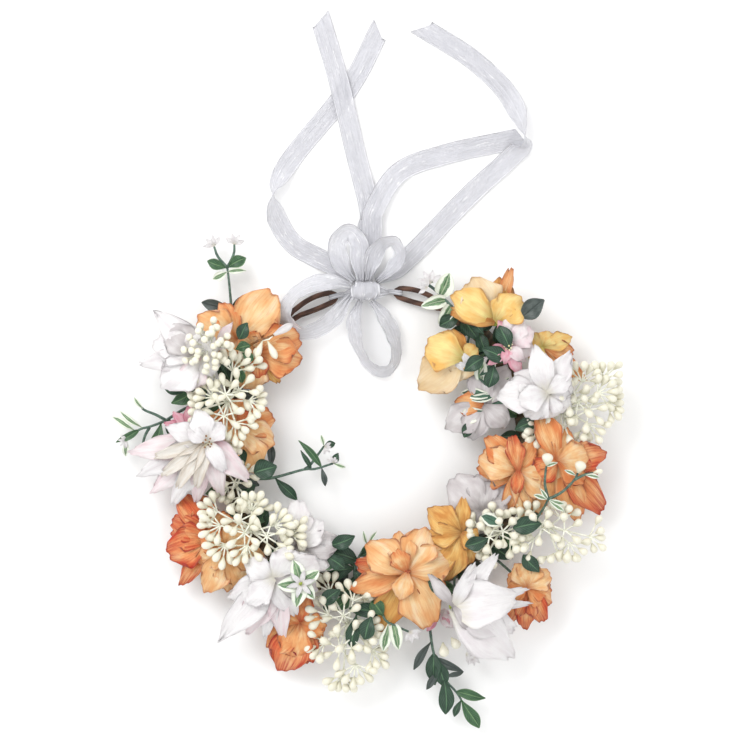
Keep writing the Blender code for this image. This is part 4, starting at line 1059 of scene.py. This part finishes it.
def makeSprig(name, look, seed):
    maker = Maker(name + "_leaves")
    middle = middleOf(name)
    routes = []
    for points in look["stems"]:
        route = curveThrough([middle + np.array(p) for p in points], 2.5)
        routes.append(route)
        maker.tube(route, np.linspace(0.95, 0.65, len(route)), "stemGreen", 8)
    for k, (stem, share, heading, length, width, finish) in enumerate(look["leaves"]):
        route = routes[stem]
        foot = route[min(int(share * len(route)), len(route) - 1)]
        outline = "blade" if k % 3 == 1 else "spade"
        if finish == "leafPale" and width > 7.5:
            outline = "round"
        addLeaf(maker, finish, foot, heading, length, width, 1.2, 1.6, outline, seed * 20 + k)
    for k, (place, heading, size) in enumerate(look.get("florets", ())):
        addFloret(maker, middle + np.array(place), heading, size, seed * 20 + k)
    for place, aim, length, wide in look.get("buds", ()):
        addDrop(maker, middle + np.array(place), aim, length, wide)
    return maker


for order, (name, look) in enumerate(sprigs.items()):
    maker = makeSprig(name, look, order + 1)
    if name == "star_sprig_lower_left":
        # the small six-pointed star that stands over the round leaves
        star = middleOf(name) + np.array((-4, 5.5, 24))
        for k in range(6):
            own = dict(ruffle=0.02, cup=0.3, thick=0.25)
            addPetal(maker, "white", star, 14 + 60 * k, 8.6, 3.1, 0.8, 0.7, "pointed", 900 + k, **own)
        addStamens(maker, star, 5, 2, 0.6, 0, 0, 77, "stemOlive")
    maker.done(look["body"], look["slot"], name)
print("sprigs made:", len(sprigs))


def near(node, x, y, z):
    # a place for a small piece between the flowers, as an offset from the top of a node
    middle = middleOf(node)
    return np.array((middle[0] + x, middle[1] + y, topOf(node) + z))


# two pink buds: heading, reach and width of each petal
maker = Maker("pink_bud_upper_left")
bud = near("orange_bloom_upper_left", -25, 12, 1)
petals = ((52, 15, 6), (200, 8, 6), (160, 7, 5), (240, 8, 5), (330, 7, 5))
for k, (heading, reach, width) in enumerate(petals):
    addPetal(maker, "pink" if k % 2 else "blush", bud, heading, reach, width, 1.5, 2, "oval", 950 + k)
addStamens(maker, bud, 6, 4, 0.8, 250, 0.6, 31, "stemBrown")
maker.done("crown", "pink_silk")

maker = Maker("pink_bud_front")
bud = near("leaf_sprig_front", -8, 30, 2)
for k, (heading, reach, width) in enumerate(((250, 12, 7), (310, 12, 7), (280, 9, 5), (180, 7, 5))):
    place = bud + (3 * k, 0, 0)
    addPetal(maker, "blush" if k % 2 else "pink", place, heading, reach, width, -1, 2, "oval", 960 + k)
maker.done("crown", "pink_silk")

# loose leaves between the flowers: node, offset, heading, length, width, finish
looseLeaves = (
    ("orange_bloom_upper_left", -12, 14, 2, 60, 11, 8, "leafDark"),
    ("orange_bloom_upper_left", -14, 8, 2, 20, 9, 7, "leafMid"),
    ("orange_bloom_upper_left", -17, 4, 1, 240, 10, 7, "leafDark"),
    ("orange_bloom_upper_left", -12, -2, 1, 280, 10, 7, "leafMid"),
    ("orange_bloom_upper_left", -20, 0, 0, 180, 10, 8, "leafDark"),
    ("orange_bloom_upper_left", -10, 6, 3, 330, 8, 6, "leafMid"),
    ("berry_spray_left", 10, 8, -6, 20, 14, 13, "leafDark"),
    ("berry_spray_left", 4, 12, -8, 110, 12, 9, "leafDark"),
    ("white_bloom_inner_left", 18, -8, -8, 20, 15, 9, "leafDark"),
    ("white_bloom_inner_left", 14, -14, -8, 330, 14, 9, "leafDark"),
    ("white_bloom_inner_left", 2, -18, -6, 250, 14, 9, "leafDark"),
    ("berry_spray_lower_left", 12, -10, -12, 300, 15, 10, "leafDark"),
    ("berry_spray_inner_right", 8, 4, -6, 10, 17, 11, "leafDark"),
    ("berry_spray_inner_right", 2, 6, -4, 160, 14, 8, "leafRimmed"),
    ("berry_spray_inner_right", 14, -12, -10, 310, 14, 9, "leafDark"),
    ("berry_spray_inner_right", -6, -2, -9, 200, 15, 9, "leafDark"),
    ("white_bloom_right", -18, 14, -10, 150, 16, 10, "leafDark"),
    ("white_bloom_right", -16, 20, -8, 110, 16, 10, "leafDark"),
    ("pink_blossom_upper", -14, -10, -8, 210, 14, 9, "leafDark"),
    ("pink_blossom_upper", -8, -14, -9, 260, 14, 9, "leafDark"),
    ("pink_blossom_upper", 8, 14, -3, 35, 17, 12, "leafSlate"),
    ("pink_blossom_upper", -14, 4, -8, 130, 13, 8, "leafDark"),
    ("berry_spray_right", -22, -8, -10, 200, 14, 9, "leafDark"),
    ("peach_bloom_front", -16, -22, -12, 250, 15, 10, "leafDark"),
    ("red_bloom_front_left", 16, 18, 0, 40, 14, 9, "leafDark"),
    ("white_magnolia_front", -20, 14, -18, 160, 13, 9, "leafDark"),
)
# a row of dark leaves on each side of the band, all the way under the flowers
maker = Maker("leaves_under_the_flowers")
chance = np.random.default_rng(11)
for k, around in enumerate(np.arange(132, 414, 8.0)):
    for side in (-1, 1):
        foot = polar(around + side * 2, side * 2.5, 7.5)
        heading = around + (0 if side > 0 else 180) + chance.uniform(-45, 45)
        finish = ("leafDark", "leafMid", "leafDark", "leafSlate")[(k + side) % 4]
        size = chance.uniform(13, 17)
        addLeaf(maker, finish, foot, heading, size, size * 0.55, 3, 3, "blade", 800 + 2 * k + side)
maker.done("crown", "green_leaf")

maker = Maker("loose_leaves")
for k, (node, x, y, z, heading, length, width, finish) in enumerate(looseLeaves):
    outline = "spade" if k % 2 else "blade"
    addLeaf(maker, finish, near(node, x, y, z), heading, length, width, 1, 1.5, outline, 700 + k)
maker.done("crown", "green_leaf")

# a knot of ivory beads fills the middle of the big white bloom on the left
maker = Maker("ivory_beads")
chance = np.random.default_rng(5)
heap = near("white_bloom_upper_left", 12, -2, -9)
beads = 34
for k in range(beads):
    share = math.sqrt((k + 0.5) / beads)
    turn = k * goldenTurn + chance.uniform(-0.5, 0.5)
    foot = heap + np.array((12.5 * share * math.cos(turn), 12 * share * math.sin(turn), 6 * (1 - share**2)))
    foot += chance.uniform(-1.4, 1.4, 3)
    aim = np.array((math.cos(turn) * share, math.sin(turn) * share, 0.9))
    length = chance.uniform(5.0, 7.0)
    maker.tube([foot - aim * 5, foot, foot + aim * 0.6], 0.5, "stemPale", 5)
    addDrop(maker, foot, aim, length, chance.uniform(3.9, 4.8), tone=chance.uniform(0, 1))
maker.done("crown", "ivory_berry")

# a long white bud with two berries on a brown twig
maker = Maker("long_white_bud")
bud = near("orange_bloom_upper_left", 2, 14, 1)
addDrop(maker, bud + (5, 1.5, 1), (0.86, 0.5, 0.12), 15, 5, "white")
addDrop(maker, bud + (0, -1, 1), (-0.35, -0.9, 0.1), 11, 4.6)
addDrop(maker, bud + (3, -1, 1), (0.45, -0.9, 0.1), 12, 4.6)
twig = [bud + (-10, -5, -4), bud + (-3, -1, 0), bud + (2, 0.6, 1), bud + (8, 3, 1.5)]
maker.tube(twig, 0.8, "stemBrown", 6)
maker.tube([bud + (-2, -1, 0), bud + (4, 0, 1.5), bud + (6, 2, 1.5)], 0.5, "stemPale", 6)
maker.done("crown", "ivory_berry")
print("small pieces made")


# The band: three strands laid round each other, an eye at each end, and tape over the stems. Radius of a
# strand and of the twist, height, ends in degrees, eye and neck in millimetres, and turns of the twist.
band = dict(
    strand=1.6, twist=2.309, height=4.96, leftEnd=104.8, rightEnd=442.4,
    eye=25.0, eyeSpread=3.6, neck=9.0, turns=10,
)
bandLength = math.radians(band["rightEnd"] - band["leftEnd"]) * ringRadius
plainLength = bandLength - 2 * band["eye"]


def strandPoint(distance, offset, spread):
    share = min(max((distance - band["eye"]) / plainLength, 0), 1)
    angle = math.radians(90 + 360 * band["turns"] * share + offset)
    around = band["leftEnd"] + math.degrees(distance / ringRadius)
    return polar(around, spread * math.cos(angle), band["height"] + spread * math.sin(angle))


def eyeStretch(side, fromRight):
    # half of the eye at one end, from its tip to the neck
    found = []
    for share in (np.arange(14) + 0.5) / 14:
        spread = band["twist"] + (band["eyeSpread"] - band["twist"]) * math.sin(math.pi * share)
        spread *= min(1.0, math.sqrt(share / 0.12))
        place = share * band["eye"]
        found.append(strandPoint(bandLength - place if fromRight else place, 90 * side, spread))
    return found[::-1] if fromRight else found


def wireRun(side):
    found = []
    for distance in np.linspace(band["eye"], bandLength - band["eye"], 190):
        nearEye = min(distance, bandLength - distance) - band["eye"]
        # the two wires close from opposite sides to make room for the vine
        offset = 90 - 30 * smoothStep(nearEye / band["neck"])
        found.append(strandPoint(distance, offset * side, band["twist"]))
    return eyeStretch(side, False) + found + eyeStretch(side, True)


maker = Maker("twisted_wire")
maker.tube(wireRun(1) + wireRun(-1)[::-1], band["strand"], "paper", 12, loop=True)
maker.done("crown", "paper_wrap", "band_wire")

maker = Maker("twisted_vine")
start = band["eye"] + band["neck"]
steps = 180
path = [strandPoint(d, 180, band["twist"]) for d in np.linspace(start, bandLength - start, steps)]
girth = band["strand"] + 0.12 * np.sin(np.arange(steps) * 1.3) + 0.08 * np.sin(np.arange(steps) * 3.1)
girth[[0, -1]] = band["strand"] / 2
maker.tube(path, girth, "vine", 12)
maker.done("crown", "vine", "band_vine")

# tape: degrees in a lap, how far a lap stands over the one before, its radius and thickness
tape = dict(lap=6.5, step=0.35, radius=4.95, thick=0.5, stretches={
    "tape_left": (128, 190), "tape_front_left": (191.5, 250), "tape_front": (256, 322),
        "tape_right": (323.5, 416),
})
for name, (first, last) in tape["stretches"].items():
    maker = Maker(name + "_wound")
    sweep = last - first
    u, v = np.meshgrid(np.linspace(0, 1, int(sweep * 1.5)), np.linspace(0, 1, 25), indexing="ij")
    turn = v * 2 * math.pi
    lap = ((u * sweep / tape["lap"] + v) % 1.0) * tape["step"]
    radius = tape["radius"] + lap + 0.12 * np.sin(turn * 3 + u * 40)
    around = np.radians(first + sweep * u)
    out = ringRadius + radius * np.cos(turn)
    # it lies flat underneath
    height = np.maximum(band["height"] + radius * np.sin(turn), 0.3)
    grid = np.stack([out * np.cos(around), out * np.sin(around), height], axis=-1)
    maker.skin(grid, marksOf(u * sweep / 60, v * 2, 0.5), "tape", tape["thick"])
    maker.done("crown", "floral_tape", name)
print("band wound")


# The sheer ribbon: its width and thickness, its width where it is gathered, and how long a gather is.
ribbon = dict(width=12.0, thick=0.14, pinched=4, gather=16)
knotX = middleOf("bow_knot")[0]
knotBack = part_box("bow_knot")[1][1] / mm
# each tail and loop: points right of and behind the knot's back, height and, where it leans, its roll
tails = {
    "tail_far_left": (
        (-6.6, 0.6, 2.3), (-16, 8.5, 1.4), (-30, 15.5, 0.7), (-43, 23, 0.6), (-52, 36, 1.2),
        (-55.5, 50, 7.2, 75), (-46, 72, 0.6, 180), (-10, 117, 0.5, 180), (8, 151, 0.5, 180),
    ),
    "tail_middle_left": (
        (-2.6, 0.6, 2.0), (-3, 14, 1.6), (1, 32, 1.4), (2.5, 43, 2.4), (-6, 78, 1.0),
        (-12, 104, 2.3), (-18, 128, 1.0), (-27, 158, 0.5),
    ),
    "tail_middle_right": (
        (1.8, 0.6, 2.8), (3.5, 14, 3.4), (4, 34, 4.6), (5.5, 44, 4.6), (20, 66, 1.4),
        (48, 77, 0.5), (94, 87, 0.5),
    ),
    "tail_far_right": (
        (6.6, 0.6, 2.2), (17, 7, 1.6), (30, 19, 0.7), (62, 52, 0.7), (88, 76, 1.6),
        (95.5, 86, 9.5, 80), (86, 112, 0.7, 180), (64, 134, 0.5, 180), (34, 153, 0.5, 180),
    ),
}
# how far one corner of each tail's end runs past the middle
tailCuts = {"tail_far_left": 5, "tail_middle_left": 4, "tail_middle_right": 3, "tail_far_right": 5}
loops = {
    "bow_loop_lower_left": (
        (-8.6, -2.0, 10.4, 10), (-22, 0, 13.4, 32), (-37, -4, 15.0, 42), (-47, -13, 16.6, 50),
        (-47, -23, 16.6, 50), (-37, -30, 15.6, 44), (-21, -23, 13.4, 36), (-8.6, -7.4, 10.0, 10),
    ),
    "bow_loop_lower_right": (
        (-3.0, -11.2, 9.6, 10), (-7, -26, 10, 45), (-2, -43, 10, 60), (8, -53, 10, 62),
        (17, -49, 10, 60), (18, -37, 10, 52), (12, -23, 10, 40), (3.4, -11.2, 9.6, 10),
    ),
    "bow_loop_upper_left": (
        (-7.0, 1.0, 8.2, 10), (-15, 12, 10, 14), (-17, 24, 11, 24), (-10, 30, 11, 34),
        (-4, 23, 11.6, 22), (-4, 12, 11, 12), (-3.2, 1.0, 10.6, 10),
    ),
    "bow_loop_upper_right": (
        (1.6, 1.0, 10.6, 10), (4, 13, 11.6, 20), (9, 22, 12.6, 46), (17, 24, 12.6, 56),
        (21, 16, 12, 55), (15, 7, 10, 38), (7.2, 1.0, 8.2, 10),
    ),
}


def ribbonGrid(points, pinched, cut, seed, wrinkle):
    # a run of ribbon, gathered at the ends named in pinched and cut aslant at the far one
    chance = np.random.default_rng(seed)
    route = [(knotX + x, knotBack + y, z, *(roll or [0.0])) for x, y, z, *roll in points]
    rows = curveThrough(route, 1.6)
    path = rows[:, :3]
    travelled = np.concatenate([[0], np.cumsum(np.linalg.norm(np.diff(path, axis=0), axis=1))])
    along = np.gradient(path, axis=0)
    along /= np.linalg.norm(along, axis=1, keepdims=True)
    flat = np.cross(along, (0.0, 0.0, 1.0))
    flat /= np.linalg.norm(flat, axis=1, keepdims=True)
    roll = np.radians(rows[:, 3])[:, None]
    across = flat * np.cos(roll) + np.cross(along, flat) * np.sin(roll)
    over = np.cross(across, along)
    ends = (travelled, travelled[-1] - travelled)
    share = np.ones(len(path))
    for end in pinched:
        ramp = np.clip(ends[end] / ribbon["gather"], 0, 1)
        share = np.minimum(share, ramp * ramp * (3 - 2 * ramp))
    half = (ribbon["pinched"] + (ribbon["width"] - ribbon["pinched"]) * share) / 2
    v = np.linspace(-1, 1, 13)
    slant = np.zeros(len(path))
    slant[-1] = cut
    slant[-2] = cut * 0.6
    place = half[:, None] * v[None]
    phase = chance.uniform(0, anyPhase, 6)
    t = travelled[:, None] / 10
    # soft rolls along the run, sharp gathers where it is pinched
    waves = 0.5 * np.sin(t * 2.1 + phase[0] + v * 1.5)
    waves = waves + 0.35 * np.sin(t * 4.7 + phase[1] - v * 2.5) * np.abs(v)
    waves = waves + 0.25 * np.sin(t * 8.3 + phase[2] + v * 4)
    lift = wrinkle * waves
    lift = lift + (1 - share[:, None]) * np.sin(v * 9 + phase[3])[None]
    lift = lift + 0.5 * (v[None] ** 2) * wrinkle * (1 + np.sin(t * 1.3 + phase[4]))
    grid = path[:, None] + across[:, None] * place[..., None] + over[:, None] * lift[..., None]
    grid = grid + along[:, None] * (slant[:, None] * v[None])[..., None]
    # nothing sinks into the floor
    grid[..., 2] = np.maximum(grid[..., 2], 0.25 + 0.15 * np.abs(np.sin(t + v)))
    u = np.broadcast_to((travelled / 200)[:, None], place.shape)
    marks = marksOf(u, np.broadcast_to(v[None], place.shape), chance.uniform(0, 1))
    return grid, marks, travelled[-1]


for order, (name, points) in enumerate(tails.items()):
    maker = Maker(name + "_ribbon")
    grid, marks, length = ribbonGrid(points, (0,), tailCuts[name], 40 + order, 0.55)
    maker.skin(grid, marks, "organza", ribbon["thick"])
    piece = maker.done("tails", "organza", name)
    length * mm
for order, (name, points) in enumerate(loops.items()):
    maker = Maker(name + "_ribbon")
    grid, marks, length = ribbonGrid(points, (0, 1), 0, 60 + order, 0.9)
    maker.skin(grid, marks, "organza", ribbon["thick"])
    piece = maker.done("crown", "organza", name)
    length * mm

# the knot: ribbon drawn round the gathers in overlapping, crumpled bands, each with its tilt and size
knot = dict(turns=((6, 1.0), (-18, 0.97), (32, 0.92), (-44, 0.88), (68, 0.8)), wide=8.2, deep=5.2, high=4.5)
maker = Maker("tied_knot")
middle = middleOf("bow_knot")
wound = 0.0  # area of ribbon in the knot
for k, (tilt, size) in enumerate(knot["turns"]):
    u, v = places(45, 17)
    turn = u * 2 * math.pi
    bulge = 1 - 0.3 * v**2 + 0.05 * np.sin(v * 11 + turn * 2 + k * 2.1)
    bulge = bulge + 0.03 * np.sin(v * 19 - turn * 3 + k)
    y = np.sign(np.cos(turn)) * np.abs(np.cos(turn)) ** 0.85 * knot["deep"] * size * bulge
    z = np.sign(np.sin(turn)) * np.abs(np.sin(turn)) ** 0.85 * knot["high"] * size * bulge
    x = v * (knot["wide"] - k) * (1 + 0.08 * np.sin(turn + k * 1.7)) + z * 0.1 * math.sin(tilt)
    grid = turned(x, y, z, tilt, middle)
    maker.skin(grid, marksOf(u * 0.16, v, 0.3 * k), "organza", ribbon["thick"])
    wound += areaOf(grid)
# gathers that run on from the knot into each lacing
for side, lacing in ((-1, "lacing_left"), (1, "lacing_right")):
    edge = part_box(lacing)[0 if side > 0 else 1][0] / mm + side * 1.2
    target = np.array([edge, middleOf(lacing)[1], middleOf(lacing)[2] + 2.4])
    u, v = places(15, 17)
    start = middle + np.array([side * 4.6, 0.0, 1.6])
    half = 4.4 * (1 - u) ** 1.3 + 1.6
    ridge = 0.7 * np.sin(v * 10 + side) * (0.4 + 0.6 * u) - 0.8 * v**2 * (1 - u)
    grid = start + (target - start) * u[..., None]
    grid = grid + np.stack([np.zeros_like(u), v * half, ridge + 1.2 * np.sin(u * math.pi)], axis=-1)
    maker.skin(grid, marksOf(u * 0.06, v, 0.7), "organza", ribbon["thick"])
    wound += areaOf(grid)
piece = maker.done("crown", "organza", "bow_knot")
length = wound / ribbon["width"]
length * mm

# A narrow lacing from the knot through each eye of the wire and back: the ribbon folded in four. How far
# its legs reach from the band's end, half of its width and depth, and its thickness.
lacing = dict(reach=-4.4, halfWidth=1.45, halfDepth=0.42, thick=0.12)
room = 1.15 * band["strand"] + 0.6 + 0.25  # from the middle of the wire to the middle of the lacing
eyeTip = band["eye"] * 0.5 / 7  # from the band's end to where the wire turns back
for name, end, side in (("lacing_left", band["leftEnd"], -1), ("lacing_right", band["rightEnd"], 1)):
    maker = Maker(name + "_ribbon")
    bend = np.linspace(-math.pi / 2, math.pi / 2, 13)
    legs = [(eyeTip + room * math.cos(a), -room * math.sin(a), a) for a in bend]
    legs = [(lacing["reach"], room, bend[0]), *legs, (lacing["reach"], -room, bend[-1])]
    rows = []
    for place, height, angle in legs:
        section = []
        for v in np.linspace(-1, 1, 25):
            wide = lacing["halfWidth"] * (2 / math.pi) * math.asin(math.sin(v * 2 * math.pi))
            deep = lacing["halfDepth"] * v
            around = end - side * math.degrees((place + deep * math.cos(angle)) / ringRadius)
            section.append(polar(around, wide, band["height"] + height - deep * math.sin(angle)))
        rows.append(section)
    grid = np.array(rows)
    u, v = np.meshgrid(np.linspace(0, 0.1, len(rows)), np.linspace(-1, 1, 25), indexing="ij")
    maker.skin(grid, marksOf(u, v, 0.5), "organza", lacing["thick"])
    piece = maker.done("crown", "organza", name)
    length = float(np.linalg.norm(np.diff(grid[:, 12], axis=0), axis=1).sum())
    length * mm
print("ribbon tied")


# floor, light and camera: straight down from above
view = dict(width=0.45, centreY=0.0396, distance=2.4)
bpy.ops.mesh.primitive_plane_add(size=6, location=(0, 0, -0.0004))
floor = bpy.context.object
floor.name = "pale_floor"
ground = bpy.data.materials.new("pale_floor")
ground.use_nodes = True
paint = ground.node_tree.nodes["Principled BSDF"]
paint.inputs["Base Color"].default_value = (0.95, 0.95, 0.95, 1)
paint.inputs["Roughness"].default_value = 0.9
floor.data.materials.append(ground)

world = bpy.data.worlds.new("soft_room")
world.use_nodes = True
sky = world.node_tree.nodes["Background"]
sky.inputs["Color"].default_value = (1, 1, 1, 1)
sky.inputs["Strength"].default_value = 1.0
bpy.context.scene.world = world
aimAt = Vector((0, 0.03, 0))
for place, size, power in (((-0.5, 0.55, 0.9), 0.6, 6.0), ((0.7, -0.3, 1.1), 0.9, 1.5)):
    light = bpy.data.lights.new("softbox", "AREA")
    light.size = size
    light.energy = power
    lamp = bpy.data.objects.new("softbox", light)
    lamp.location = place
    lamp.rotation_euler = (aimAt - Vector(place)).to_track_quat("-Z", "Y").to_euler()
    bpy.context.scene.collection.objects.link(lamp)

lens = bpy.data.cameras.new("above")
lens.sensor_width = 36
lens.lens = 36 * view["distance"] / view["width"]
lens.clip_end = 20
camera = bpy.data.objects.new("above", lens)
camera.location = (0, view["centreY"], view["distance"])
bpy.context.scene.collection.objects.link(camera)
bpy.context.scene.camera = camera
bpy.context.scene.view_settings.view_transform = "Standard"

print("crown ready")
